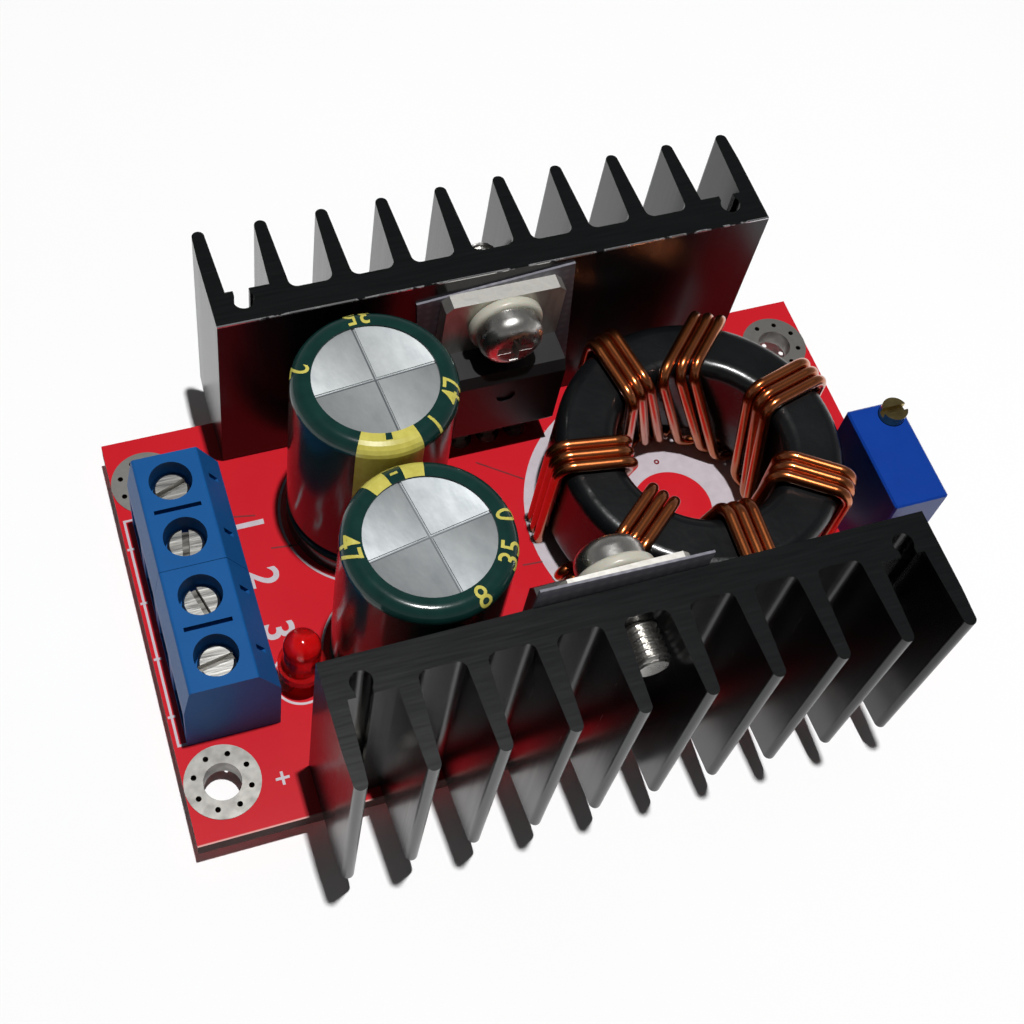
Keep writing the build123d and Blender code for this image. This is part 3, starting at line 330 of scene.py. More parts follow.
def bright_edge_patches(tree, place):
    """Where bright metal shows: in patches along the upper inner edge of the rear heatsink."""
    where = add(tree, "SeparateXYZ", {"Vector": place})
    high = add(tree, "MapRange", {
        "Value": where.outputs["Z"], "From Min": (sink_high.z - bright_edge_top[1]) * MM,
        "From Max": (sink_high.z - bright_edge_top[0]) * MM})
    inner = add(tree, "MapRange", {
        "Value": where.outputs["Y"], "From Min": (sink_low.y + bright_edge_face[1]) * MM,
        "From Max": (sink_low.y + bright_edge_face[0]) * MM})
    rear = add(tree, "Math", {0: where.outputs["Y"], 1: 0.0}, operation="GREATER_THAN")
    chips = add(tree, "TexNoise", {"Vector": place, "Scale": grain(1.6), "Detail": 5})
    patchy = add(tree, "MapRange", {"Value": chips.outputs["Fac"], "From Min": 0.42, "From Max": 0.5})
    edge = add(tree, "Math", {0: high.outputs[0], 1: inner.outputs[0]}, operation="MULTIPLY")
    rear_edge = add(tree, "Math", {0: edge.outputs[0], 1: rear.outputs[0]}, operation="MULTIPLY")
    bare = add(tree, "Math", {0: rear_edge.outputs[0], 1: patchy.outputs[0]}, operation="MULTIPLY")
    return bare.outputs[0]


def anodised_aluminium():
    """Extruded aluminium, dyed black in the anodising bath: near black with a hard semi-gloss, die lines
    up each face, saw lines across the ends, and bright metal in patches along the rear one's inner top
    edge."""
    material, tree, place = start("black_anodised_aluminium")
    lie = add(tree, "SeparateXYZ", {"Vector": add(tree, "TexCoord").outputs["Normal"]})
    upright = add(tree, "Math", {0: lie.outputs["Z"]}, operation="ABSOLUTE")
    sawn = add(tree, "MapRange", {"Value": upright.outputs[0], "From Min": 0.4, "From Max": 0.8})
    drawn = add(tree, "Mapping", {"Vector": place, "Scale": (1, 1, 0.02)})
    die = add(tree, "TexNoise", {"Vector": drawn.outputs[0], "Scale": grain(0.3), "Detail": 5})
    across = add(tree, "Mapping", {"Vector": place, "Rotation": (0, 0, radians(saw_slant)),
                                   "Scale": (0.05, 1, 0.05)})
    saw = add(tree, "TexNoise", {"Vector": across.outputs[0], "Scale": grain(0.2), "Detail": 4})
    lines = add(tree, "Mix", {0: sawn.outputs[0], 2: die.outputs["Fac"], 3: saw.outputs["Fac"]})
    side = add(tree, "Mix", {0: die.outputs["Fac"], 6: linear("#08080A"), 7: linear("#101113")},
               data_type="RGBA")
    end = add(tree, "Mix", {0: saw.outputs["Fac"], 6: linear("#08090A"), 7: linear("#101213")},
              data_type="RGBA")
    dyed = add(tree, "Mix", {0: sawn.outputs[0], 6: side.outputs[2], 7: end.outputs[2]},
               data_type="RGBA")
    bare = bright_edge_patches(tree, place)
    colour = add(tree, "Mix", {0: bare, 6: dyed.outputs[2], 7: linear("#D8D8DA")}, data_type="RGBA")
    gloss = add(tree, "MapRange", {"Value": lines.outputs[0], "To Min": 0.2, "To Max": 0.3})
    bump = add(tree, "Bump", {"Height": lines.outputs[0], "Strength": 0.2, "Distance": 0.004 * MM})
    shader = add(tree, "BsdfPrincipled", {
        "Base Color": colour.outputs[2], "Metallic": bare, "Roughness": gloss.outputs[0],
        "IOR": 1.4, "Normal": bump.outputs[0]})
    add(tree, "OutputMaterial", {"Surface": shader.outputs[0]})
    return material


def tinned_lead(name, light, dark, streak, dullness=0.2):
    """Lead, pin or tab, dip tinned: satin metal with streaks along it where the tin ran and drained."""
    material, tree, place = start(name)
    drawn = add(tree, "Mapping", {"Vector": place, "Scale": (1, 1, 0.2)})
    runs = add(tree, "TexNoise", {"Vector": drawn.outputs[0], "Scale": grain(streak), "Detail": 4})
    colour = add(tree, "Mix", {0: runs.outputs["Fac"], 6: linear(dark), 7: linear(light)},
                 data_type="RGBA")
    gloss = add(tree, "MapRange", {"Value": runs.outputs["Fac"], "To Min": dullness + 0.25,
                                   "To Max": dullness})
    bump = add(tree, "Bump", {"Height": runs.outputs["Fac"], "Strength": 0.4, "Distance": 0.02 * MM})
    shader = add(tree, "BsdfPrincipled", {
        "Base Color": colour.outputs[2], "Metallic": 1.0, "Roughness": gloss.outputs[0],
        "Normal": bump.outputs[0]})
    add(tree, "OutputMaterial", {"Surface": shader.outputs[0]})
    return material


def moulded_epoxy():
    """Transfer-moulded epoxy with silica filler: black, with the fine matt grain of a spark-cut mould."""
    material, tree, place = start("black_moulded_epoxy")
    filler = add(tree, "TexNoise", {"Vector": place, "Scale": grain(0.09), "Detail": 3})
    cloud = add(tree, "TexNoise", {"Vector": place, "Scale": grain(2.2)})
    colour = add(tree, "Mix", {0: cloud.outputs["Fac"], 6: linear("#0D0C0D"), 7: linear("#1E1C1D")},
                 data_type="RGBA")
    bump = add(tree, "Bump", {"Height": filler.outputs["Fac"], "Strength": 0.5, "Distance": 0.012 * MM})
    shader = add(tree, "BsdfPrincipled", {
        "Base Color": colour.outputs[2], "Roughness": 0.42, "IOR": 1.55, "Normal": bump.outputs[0]})
    add(tree, "OutputMaterial", {"Surface": shader.outputs[0]})
    return material


def silicone_cloth():
    """Silicone-coated glass cloth: a soft grey skin in which the square weave shows as a faint relief."""
    material, tree, place = start("silicone_glass_cloth")
    warp = add(tree, "TexWave", {"Vector": place, "Scale": grain(0.45) / (2 * pi),
                                 "Distortion": 0.4}, bands_direction="X")
    weft = add(tree, "TexWave", {"Vector": place, "Scale": grain(0.45) / (2 * pi),
                                 "Distortion": 0.4}, bands_direction="Z")
    weave = add(tree, "Math", {0: warp.outputs["Fac"], 1: weft.outputs["Fac"]}, operation="MULTIPLY")
    colour = add(tree, "Mix", {0: weave.outputs[0], 6: linear("#77767F"), 7: linear("#8C8B94")},
                 data_type="RGBA")
    bump = add(tree, "Bump", {"Height": weave.outputs[0], "Strength": 0.15, "Distance": 0.006 * MM})
    shader = add(tree, "BsdfPrincipled", {
        "Base Color": colour.outputs[2], "Roughness": 0.45, "IOR": 1.42, "Normal": bump.outputs[0]})
    add(tree, "OutputMaterial", {"Surface": shader.outputs[0]})
    return material


def moulded_nylon(name, dark, light, gloss, glow=0.0, sheen=0.5):
    """Injection-moulded nylon: an even colour that clouds slightly, over a low orange-peel skin."""
    material, tree, place = start(name)
    cloud = add(tree, "TexNoise", {"Vector": place, "Scale": grain(3.5), "Detail": 3})
    peel = add(tree, "TexNoise", {"Vector": place, "Scale": grain(0.25), "Detail": 3})
    colour = add(tree, "Mix", {0: cloud.outputs["Fac"], 6: linear(dark), 7: linear(light)},
                 data_type="RGBA")
    shine = add(tree, "MapRange", {"Value": peel.outputs["Fac"], "To Min": gloss - 0.07,
                                   "To Max": gloss + 0.07})
    bump = add(tree, "Bump", {"Height": peel.outputs["Fac"], "Strength": 0.3, "Distance": 0.012 * MM})
    shader = add(tree, "BsdfPrincipled", {
        "Base Color": colour.outputs[2], "Roughness": shine.outputs[0], "IOR": 1.53,
        "Specular IOR Level": sheen, "Subsurface Weight": glow, "Subsurface Scale": 0.4 * MM,
        "Normal": bump.outputs[0]})
    add(tree, "OutputMaterial", {"Surface": shader.outputs[0]})
    return material


def plated_steel():
    """Nickel-plated cold-headed steel: a bright warm-white metal, faintly pitted, with greyer hollows."""
    material, tree, place = start("nickel_plated_steel")
    pits = add(tree, "TexNoise", {"Vector": place, "Scale": grain(0.5), "Detail": 5})
    colour = add(tree, "Mix", {0: pits.outputs["Fac"], 6: linear("#A9A6A0"), 7: linear("#F0EEEA")},
                 data_type="RGBA")
    gloss = add(tree, "MapRange", {"Value": pits.outputs["Fac"], "To Min": 0.38, "To Max": 0.2})
    bump = add(tree, "Bump", {"Height": pits.outputs["Fac"], "Strength": 0.5, "Distance": 0.025 * MM})
    shader = add(tree, "BsdfPrincipled", {
        "Base Color": colour.outputs[2], "Metallic": 1.0, "Roughness": gloss.outputs[0],
        "Normal": bump.outputs[0]})
    add(tree, "OutputMaterial", {"Surface": shader.outputs[0]})
    return material


def slotted_steel():
    """Zinc-plated clamp screw: a crown streaked one way by brushing and by painted highlight, and painted
    shade in its slot.
    """
    material, tree, place = start("zinc_plated_steel")
    brushed = add(tree, "Mapping", {"Vector": place, "Scale": (0.12, 1, 1)})
    streaks = add(tree, "TexNoise", {"Vector": brushed.outputs[0], "Scale": grain(0.55), "Detail": 4})
    # Streaks from brushing, painted lighter and darker as painted highlight in the crown's colour
    brushing_and_highlight = add(tree, "MapRange", {"Value": streaks.outputs["Fac"], "From Min": 0.38, "From Max": 0.62})
    crown = add(tree, "Mix", {0: brushing_and_highlight.outputs[0], 6: linear("#8E8C87"), 7: linear("#D2D1CD")},
                data_type="RGBA")
    where = add(tree, "SeparateXYZ", {"Vector": place})
    # Painted shade: the slot is coloured darker the deeper it lies below the crown
    depth = add(tree, "MapRange", {
        "Value": where.outputs["Z"], "From Min": (screw_crown - slot_shade[1]) * MM,
        "From Max": (screw_crown - slot_shade[0]) * MM})
    colour = add(tree, "Mix", {0: depth.outputs[0], 6: linear("#75736E"), 7: crown.outputs[2]},
                 data_type="RGBA")
    gloss = add(tree, "MapRange", {"Value": brushing_and_highlight.outputs[0], "To Min": 0.42, "To Max": 0.24})
    bump = add(tree, "Bump", {"Height": streaks.outputs["Fac"], "Strength": 0.6, "Distance": 0.05 * MM})
    shader = add(tree, "BsdfPrincipled", {
        "Base Color": colour.outputs[2], "Metallic": 1.0, "Roughness": gloss.outputs[0],
        "Normal": bump.outputs[0]})
    add(tree, "OutputMaterial", {"Surface": shader.outputs[0]})
    return material


def epoxy_powder():
    """Black epoxy powder coat baked onto the ring core: a satin black with a soft orange-peel texture."""
    material, tree, place = start("black_epoxy_powder")
    peel = add(tree, "TexNoise", {"Vector": place, "Scale": grain(0.8), "Detail": 3})
    dust = add(tree, "TexNoise", {"Vector": place, "Scale": grain(4), "Detail": 5})
    colour = add(tree, "Mix", {0: dust.outputs["Fac"], 6: linear("#090A0B"), 7: linear("#111315")},
                 data_type="RGBA")
    gloss = add(tree, "MapRange", {"Value": dust.outputs["Fac"], "To Min": 0.2, "To Max": 0.32})
    bump = add(tree, "Bump", {"Height": peel.outputs["Fac"], "Strength": 0.4, "Distance": 0.05 * MM})
    shader = add(tree, "BsdfPrincipled", {
        "Base Color": colour.outputs[2], "Roughness": gloss.outputs[0], "IOR": 1.5,
        "Normal": bump.outputs[0]})
    add(tree, "OutputMaterial", {"Surface": shader.outputs[0]})
    return material


def enamelled_copper():
    """Drawn copper under baked polyurethane enamel: orange metal under an amber skin that carries the
    highlights, with darker stretches where the enamel is thick."""
    material, tree, place = start("enamelled_copper")
    thick = add(tree, "TexNoise", {"Vector": place, "Scale": grain(3), "Detail": 4})
    colour = add(tree, "Mix", {0: thick.outputs["Fac"], 6: linear("#9A4522"), 7: linear("#DB8449")},
                 data_type="RGBA")
    skin = add(tree, "TexNoise", {"Vector": place, "Scale": grain(0.5)})
    bump = add(tree, "Bump", {"Height": skin.outputs["Fac"], "Strength": 0.2, "Distance": 0.02 * MM})
    shader = add(tree, "BsdfPrincipled", {
        "Base Color": colour.outputs[2], "Metallic": 1.0, "Roughness": 0.27, "Coat Weight": 0.8,
        "Coat Roughness": 0.12, "Coat IOR": 1.55, "Normal": bump.outputs[0]})
    add(tree, "OutputMaterial", {"Surface": shader.outputs[0]})
    return material


def scored_quarters(tree, turned):
    """How high a can's top is swollen between its two scores, and how clear of the scores a point is."""
    where = add(tree, "SeparateXYZ", {"Vector": turned})
    across = add(tree, "Math", {0: where.outputs["X"]}, operation="ABSOLUTE")
    along = add(tree, "Math", {0: where.outputs["Y"]}, operation="ABSOLUTE")
    sloped = add(tree, "Math", {0: across.outputs[0], 1: along.outputs[0]}, operation="ADD")
    slope = add(tree, "Math", {0: sloped.outputs[0], 1: can_tilt}, operation="MULTIPLY")
    curved = add(tree, "Math", {0: across.outputs[0], 1: along.outputs[0]}, operation="MULTIPLY")
    curve = add(tree, "Math", {0: curved.outputs[0], 1: can_swell / MM}, operation="MULTIPLY")
    swell = add(tree, "Math", {0: slope.outputs[0], 1: curve.outputs[0]}, operation="ADD")
    nearest = add(tree, "Math", {0: across.outputs[0], 1: along.outputs[0]}, operation="MINIMUM")
    scored = add(tree, "MapRange", {"Value": nearest.outputs[0], "From Min": score_half * MM,
                                    "From Max": 2 * score_half * MM})
    return swell.outputs[0], scored.outputs[0]


def drawn_aluminium(name, centre, turn, dull, pale):
    """Impact-drawn aluminium can: pale satin metal, its top swollen a little between the score lines, so
    that each quarter catches the light at its own angle, and the scores painted darker as shade in their
    grooves."""
    material, tree, place = start(name)
    centred = add(tree, "Mapping", {"Vector": place, "Location": (-centre.x * MM, -centre.y * MM, 0)})
    turned = add(tree, "Mapping", {"Vector": centred.outputs[0], "Rotation": (0, 0, -radians(turn))})
    swell, clear = scored_quarters(tree, turned.outputs[0])
    rolled = add(tree, "Mapping", {"Vector": turned.outputs[0], "Scale": (1, 0.5, 1)})
    marks = add(tree, "TexNoise", {"Vector": rolled.outputs[0], "Scale": grain(1.1), "Detail": 6})
    pillow = add(tree, "Bump", {"Height": swell, "Strength": 1.0, "Distance": can_relief})
    bump = add(tree, "Bump", {"Height": marks.outputs["Fac"], "Strength": 0.35, "Distance": 0.03 * MM,
                              "Normal": pillow.outputs[0]})
    skin = add(tree, "Mix", {0: marks.outputs["Fac"], 6: linear(dull), 7: linear(pale)},
               data_type="RGBA")
    # Painted shade: the score lines are coloured darker, as if shaded in their grooves
    colour = add(tree, "Mix", {0: clear, 6: linear("#6E7275"), 7: skin.outputs[2]}, data_type="RGBA")
    gloss = add(tree, "MapRange", {"Value": marks.outputs["Fac"], "To Min": 0.46, "To Max": 0.36})
    shader = add(tree, "BsdfPrincipled", {
        "Base Color": colour.outputs[2], "Metallic": 1.0, "Roughness": gloss.outputs[0],
        "Normal": bump.outputs[0]})
    add(tree, "OutputMaterial", {"Surface": shader.outputs[0]})
    return material


def shrunk_sleeve():
    """Heat-shrunk vinyl film, dark green: a wet gloss drawn tight over the can, with faint pulls in it."""
    material, tree, place = start("green_shrunk_vinyl")
    upright = add(tree, "Mapping", {"Vector": place, "Scale": (1, 1, 0.12)})
    pulls = add(tree, "TexNoise", {"Vector": upright.outputs[0], "Scale": grain(1.4), "Detail": 3})
    colour = add(tree, "Mix", {0: pulls.outputs["Fac"], 6: linear("#0C2624"), 7: linear("#173B36")},
                 data_type="RGBA")
    bump = add(tree, "Bump", {"Height": pulls.outputs["Fac"], "Strength": 0.3, "Distance": 0.05 * MM})
    shader = add(tree, "BsdfPrincipled", {
        "Base Color": colour.outputs[2], "Roughness": 0.16, "IOR": 1.54, "Specular IOR Level": 0.4,
        "Normal": bump.outputs[0]})
    add(tree, "OutputMaterial", {"Surface": shader.outputs[0]})
    return material


def turned_brass():
    """Turned brass: yellow metal with fine rings from the tool round its axis, browner in the hollows."""
    material, tree, place = start("turned_brass")
    turned = add(tree, "Mapping", {"Vector": place, "Scale": (0.2, 0.2, 1)})
    rings = add(tree, "TexNoise", {"Vector": turned.outputs[0], "Scale": grain(0.12), "Detail": 3})
    stain = add(tree, "TexNoise", {"Vector": place, "Scale": grain(0.9), "Detail": 4})
    colour = add(tree, "Mix", {0: stain.outputs["Fac"], 6: linear("#6E5A2E"), 7: linear("#D9C489")},
                 data_type="RGBA")
    bump = add(tree, "Bump", {"Height": rings.outputs["Fac"], "Strength": 0.4, "Distance": 0.02 * MM})
    shader = add(tree, "BsdfPrincipled", {
        "Base Color": colour.outputs[2], "Metallic": 1.0, "Roughness": 0.24, "Normal": bump.outputs[0]})
    add(tree, "OutputMaterial", {"Surface": shader.outputs[0]})
    return material


def tinted_epoxy():
    """Cast epoxy lens, tinted red: clear and glossy, so the lead frame shows dimly inside the dome."""
    material, tree, place = start("red_tinted_epoxy")
    haze = add(tree, "TexNoise", {"Vector": place, "Scale": grain(1.5), "Detail": 2})
    colour = add(tree, "Mix", {0: haze.outputs["Fac"], 6: linear("#D8101A"), 7: linear("#FF2A2A")},
                 data_type="RGBA")
    shader = add(tree, "BsdfPrincipled", {
        "Base Color": colour.outputs[2], "Roughness": 0.08, "IOR": 1.54, "Transmission Weight": 0.65,
        "Subsurface Weight": 0.3, "Subsurface Scale": 1.0 * MM})
    add(tree, "OutputMaterial", {"Surface": shader.outputs[0]})
    return material


def fired_ceramic():
    """Fired chip ceramic: a dry pale brown body, speckled by its grains."""
    material, tree, place = start("fired_ceramic")
    grains = add(tree, "TexNoise", {"Vector": place, "Scale": grain(0.15), "Detail": 4})
    colour = add(tree, "Mix", {0: grains.outputs["Fac"], 6: linear("#8E7454"), 7: linear("#C3A983")},
                 data_type="RGBA")
    bump = add(tree, "Bump", {"Height": grains.outputs["Fac"], "Strength": 0.3, "Distance": 0.01 * MM})
    shader = add(tree, "BsdfPrincipled", {
        "Base Color": colour.outputs[2], "Roughness": 0.5, "IOR": 1.6, "Normal": bump.outputs[0]})
    add(tree, "OutputMaterial", {"Surface": shader.outputs[0]})
    return material


def glazed_film():
    """Glass-glazed resistor film: black, smooth and shiny, a little uneven from the printing screen."""
    material, tree, place = start("black_film_glaze")
    screen = add(tree, "TexNoise", {"Vector": place, "Scale": grain(0.3), "Detail": 3})
    colour = add(tree, "Mix", {0: screen.outputs["Fac"], 6: linear("#101012"), 7: linear("#232226")},
                 data_type="RGBA")
    bump = add(tree, "Bump", {"Height": screen.outputs["Fac"], "Strength": 0.4, "Distance": 0.01 * MM})
    shader = add(tree, "BsdfPrincipled", {
        "Base Color": colour.outputs[2], "Roughness": 0.2, "Normal": bump.outputs[0]})
    add(tree, "OutputMaterial", {"Surface": shader.outputs[0]})
    return material


def moulded_rubber():
    """Moulded butyl rubber: a dull black that scatters what little light it returns."""
    material, tree, place = start("moulded_rubber")
    bloom = add(tree, "TexNoise", {"Vector": place, "Scale": grain(0.6), "Detail": 4})
    colour = add(tree, "Mix", {0: bloom.outputs["Fac"], 6: linear("#141414"), 7: linear("#262524")},
                 data_type="RGBA")
    shader = add(tree, "BsdfPrincipled", {"Base Color": colour.outputs[2], "Roughness": 0.7, "IOR": 1.52})
    add(tree, "OutputMaterial", {"Surface": shader.outputs[0]})
    return material


def foil_and_paper():
    """Etched foil and kraft paper, wound damp: thin brown and grey turns seen on edge."""
    material, tree, place = start("foil_and_paper")
    turns = add(tree, "TexWave", {"Vector": place, "Scale": grain(0.3) / (2 * pi)},
                wave_type="RINGS", rings_direction="Z")
    colour = add(tree, "Mix", {0: turns.outputs["Fac"], 6: linear("#8A7A5C"), 7: linear("#B9B2A2")},
                 data_type="RGBA")
    shader = add(tree, "BsdfPrincipled", {"Base Color": colour.outputs[2], "Roughness": 0.6})
    add(tree, "OutputMaterial", {"Surface": shader.outputs[0]})
    return material


def white_table():
    """Matt white table that takes the object's shadow, and fades into an even white further out."""
    material, tree, place = start("white_table")
    tooth = add(tree, "TexNoise", {"Vector": place, "Scale": grain(30), "Detail": 2})
    colour = add(tree, "Mix", {0: tooth.outputs["Fac"], 6: linear("#FCFCFC"), 7: linear("#FEFEFE")},
                 data_type="RGBA")
    matt = add(tree, "BsdfDiffuse", {"Color": colour.outputs[2]})
    white = add(tree, "Emission", {"Color": (1, 1, 1, 1)})
    path = add(tree, "LightPath")
    outward = add(tree, "VectorMath", {0: place}, operation="LENGTH")
    far = add(tree, "MapRange", {"Value": outward.outputs["Value"], "From Min": table_fade[0],
                                 "From Max": table_fade[1]})
    share = add(tree, "Math", {0: far.outputs[0], 1: path.outputs["Is Camera Ray"]}, operation="MULTIPLY")
    mixed = add(tree, "MixShader", {0: share.outputs[0], 1: matt.outputs[0], 2: white.outputs[0]})
    add(tree, "OutputMaterial", {"Surface": mixed.outputs[0]})
    return material


# Shapes

def prism(shape, loop, low, high):
    """A flat plate with the given outline."""
    under = [shape.verts.new((x, y, low)) for x, y in loop]
    over = [shape.verts.new((x, y, high)) for x, y in loop]
    shape.faces.new(over)
    shape.faces.new(list(reversed(under)))
    for index in range(len(loop)):
        after = (index + 1) % len(loop)
        shape.faces.new((under[index], under[after], over[after], over[index]))


def stroke(points, width):
    """The outline of a line drawn with a flat nib through the points, mitred at its corners."""
    sides = ([], [])
    for index, (x, y) in enumerate(points):
        before = points[max(index - 1, 0)]
        after = points[min(index + 1, len(points) - 1)]
        inward = Vector((x - before[0], y - before[1]))
        outward = Vector((after[0] - x, after[1] - y))
        inward = (inward if inward.length else outward).normalized()
        outward = (outward if outward.length else inward).normalized()
        mitre = Vector((-(inward + outward).y, (inward + outward).x)).normalized()
        reach = width / 2 / mitre.dot(Vector((-inward.y, inward.x)))
        sides[0].append((x + mitre.x * reach, y + mitre.y * reach))
        sides[1].append((x - mitre.x * reach, y - mitre.y * reach))
    return sides[1] + sides[0][::-1]


def arc_band(shape, centre, inner, outer, begin, end, low, high, step=4):
    """A flat band that follows a circle from one angle to another, or all round it, a step at a time."""
    closed = abs(end - begin) >= 360
    count = max(3, round(abs(end - begin) / step))
    rings = []
    for index in range(count if closed else count + 1):
        angle = radians(begin + (end - begin) * index / count)
        spot = [(centre[0] + radius * cos(angle), centre[1] + radius * sin(angle))
                for radius in (inner, outer)]
        rings.append([shape.verts.new((*spot[0], low)), shape.verts.new((*spot[1], low)),
                      shape.verts.new((*spot[1], high)), shape.verts.new((*spot[0], high))])
    for index in range(count):
        here, there = rings[index], rings[(index + 1) % len(rings)]
        for corner in range(4):
            following = (corner + 1) % 4
            shape.faces.new((here[corner], here[following], there[following], there[corner]))
    if not closed:
        shape.faces.new(rings[0])
        shape.faces.new(rings[-1][::-1])


def character(shape, text, height, depth, place, weight):
    """Adds plain characters as thin plates, set by the matrix."""
    curve = bpy.data.curves.new("characters", "FONT")
    curve.body = text
    curve.size = height / capital_share
    curve.extrude = depth / 2
    curve.resolution_u = outline_steps
    curve.offset = weight
    curve.align_x = "CENTER"
    curve.align_y = "CENTER"
    holder = bpy.data.objects.new("characters", curve)
    drawn = bpy.data.meshes.new_from_object(holder)
    drawn.transform(place)
    shape.from_mesh(drawn)
    bmesh.ops.remove_doubles(shape, verts=shape.verts, dist=outline_weld)
    bpy.data.objects.remove(holder)
    bpy.data.curves.remove(curve)
    bpy.data.meshes.remove(drawn)


def add_piece(name, shape, material, body="root"):
    """Turns a shape drawn in millimetres into a piece in metres that rides on a body."""
    bmesh.ops.recalc_face_normals(shape, faces=shape.faces)
    bmesh.ops.scale(shape, vec=(MM, MM, MM), verts=shape.verts)
    mesh = bpy.data.meshes.new(name)
    shape.to_mesh(mesh)
    shape.free()
    mesh.materials.append(material)
    piece = bpy.data.objects.new(name, mesh)
    bpy.context.scene.collection.objects.link(piece)
    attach(piece, body)
    return piece


def dress(nodes, material):
    """Gives the frame's own pieces their finish."""
    for name in nodes:
        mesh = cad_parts[name].data
        if not mesh.materials:
            mesh.materials.append(material)
        for index in range(len(mesh.materials)):
            mesh.materials[index] = material


def sleeve_form(side):
    """A capacitor sleeve's centre seen from above, its outer radius, its foot and its top."""
    low, high = (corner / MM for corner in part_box(f"{side}_capacitor_sleeve"))
    return ((low + high) / 2).to_2d(), (high.x - low.x) / 2, low.z, high.z


# Ink and thread

def board_legend(material):
    """White print on top of the board: part outlines, way numbers and the signs beside the screws."""
    shape = bmesh.new()
    low, high = board_top - ink, board_top + ink
    near, far = terminal_line_ends
    x = terminal_line_x
    bracket = [(x + terminal_line_stub, near), (x, near), (x, far), (x + terminal_line_stub, far)]
    prism(shape, stroke(bracket, ink_line), low, high)
    for y in terminal_ticks:
        tick = [(x - tick_length / 2, y), (x + tick_length / 2, y)]
        prism(shape, stroke(tick, ink_line), low, high + ink)
    for side, opening in capacitor_ring_openings:
        arc_band(shape, sleeve_form(side)[0], capacitor_ring - ink_line / 2, capacitor_ring + ink_line / 2,
                 opening + capacitor_ring_gap, opening + 360 - capacitor_ring_gap, low, high)
    arc_band(shape, lamp_centre.to_2d(), lamp_ring - ink_line / 2, lamp_ring + ink_line / 2,
             0, 360, low, high)
    arc_band(shape, core_centre.to_2d(), inductor_ink_inner, inductor_ink_outer, 0, 360, low, high, step=3)
    upright = Matrix.Rotation(radians(number_turn), 4, "Z")
    for number, (across, along) in enumerate(way_numbers):
        place = Matrix.Translation((across, along, board_top)) @ upright
        character(shape, str(number + 1), number_height, 2 * ink, place, number_weight)
    for sign, across, along in sign_places:
        bars = [[(across, along - sign_size / 2), (across, along + sign_size / 2)]]
        if sign == "+":
            bars.append([(across - sign_size / 2, along), (across + sign_size / 2, along)])
        for lift, bar in enumerate(bars):
            prism(shape, stroke(bar, sign_stroke), low, high + lift * ink)
    add_piece("board_legend", shape, material)


def mask_gaps(material):
    """The thin dark lines between the copper areas on both sides of the board, and a covered via."""
    shape = bmesh.new()
    for route in mask_lines:
        prism(shape, stroke(list(route), mask_line), board_top - ink, board_top + ink)
    for route in underside_lines:
        prism(shape, stroke(list(route), underside_line), board_under - ink, board_under + ink)
    for centre in via_places:
        arc_band(shape, centre, via_hole / 2, via_diameter / 2, 0, 360, board_top - ink,
                 board_top + 2 * ink, step=20)
    add_piece("mask_gaps", shape, material)


def sleeve_point(centre, top, outer, angle, run, rise):
    """A point on the sleeve, run millimetres from its inner edge over the curl and down its side."""
    flat = outer - sleeve_corner - sleeve_curl_inner
    turn = sleeve_corner * pi / 2
    if run < flat:
        radius, height = sleeve_curl_inner + run, top + rise
    elif run < flat + turn:
        bend = (run - flat) / sleeve_corner
        radius = outer - sleeve_corner + (sleeve_corner + rise) * sin(bend)
        height = top - sleeve_corner + (sleeve_corner + rise) * cos(bend)
    else:
        radius, height = outer + rise, top - sleeve_corner - (run - flat - turn)
    return Vector((centre[0] + radius * cos(angle), centre[1] + radius * sin(angle), height))


def wrap_on_sleeve(shape, centre, outer, top, facing):
    """Bends a flat pattern over the sleeve: x runs round it from where it faces, and y falls away from
    the sleeve's inner edge, over the curl and down."""
    for axis, normal in ((0, (1, 0, 0)), (1, (0, 1, 0))):
        places = [vertex.co[axis] for vertex in shape.verts]
        for line in range(round(min(places) / band_cell), round(max(places) / band_cell) + 1):
            spot = [0, 0, 0]
            spot[axis] = line * band_cell
            geometry = shape.verts[:] + shape.edges[:] + shape.faces[:]
            bmesh.ops.bisect_plane(shape, geom=geometry, plane_co=spot, plane_no=normal)
    for vertex in shape.verts:
        across, along, rise = vertex.co
        angle = radians(facing) + across / outer
        vertex.co = sleeve_point(centre, top, outer, angle, -along, rise + ink)


def sleeve_print(side, facing, notch, numbers, material):
    """Yellow print on a sleeve: the notched band of the negative lead, with a bar in a notch that has
    room for it, and plain numbers on the curl."""
    centre, outer, foot, top = sleeve_form(side)
    half = radians(band_half) * outer
    length = top - foot - band_foot
    shape = bmesh.new()
    outline = [(-half, 0), (-half, -length), (half, -length), (half, 0)]
    outline += [(notch / 2, 0), (notch / 2, -notch), (-notch / 2, -notch), (-notch / 2, 0)]
    prism(shape, outline[::-1], -ink / 2, ink / 2)
    mark, thick = band_mark
    if notch > mark:
        prism(shape, stroke([(-mark / 2, -notch / 2), (mark / 2, -notch / 2)], thick), -ink / 2, ink / 2)
    for text, angle in numbers:
        place = Matrix.Translation((radians(angle - facing) * outer, -digit_run, 0))
        character(shape, text, digit_height, ink, place, digit_weight)
    wrap_on_sleeve(shape, centre, outer, top, facing)
    add_piece(f"{side}_sleeve_print", shape, material)


def thread_radius(run, side, length):
    """How far one side of a shank stands from its axis: root, flank or crest, turned down at the tip."""
    phase = (run / thread_pitch - side / thread_sides) % 1
    crest = 1 - abs(2 * phase - 1)
    cut = (thread_root + (thread_crest - thread_root) * min(1, crest * thread_flank)) / 2
    return min(cut, thread_root / 2 - tip_inset + max(0.0, length - run) * tip_slope)


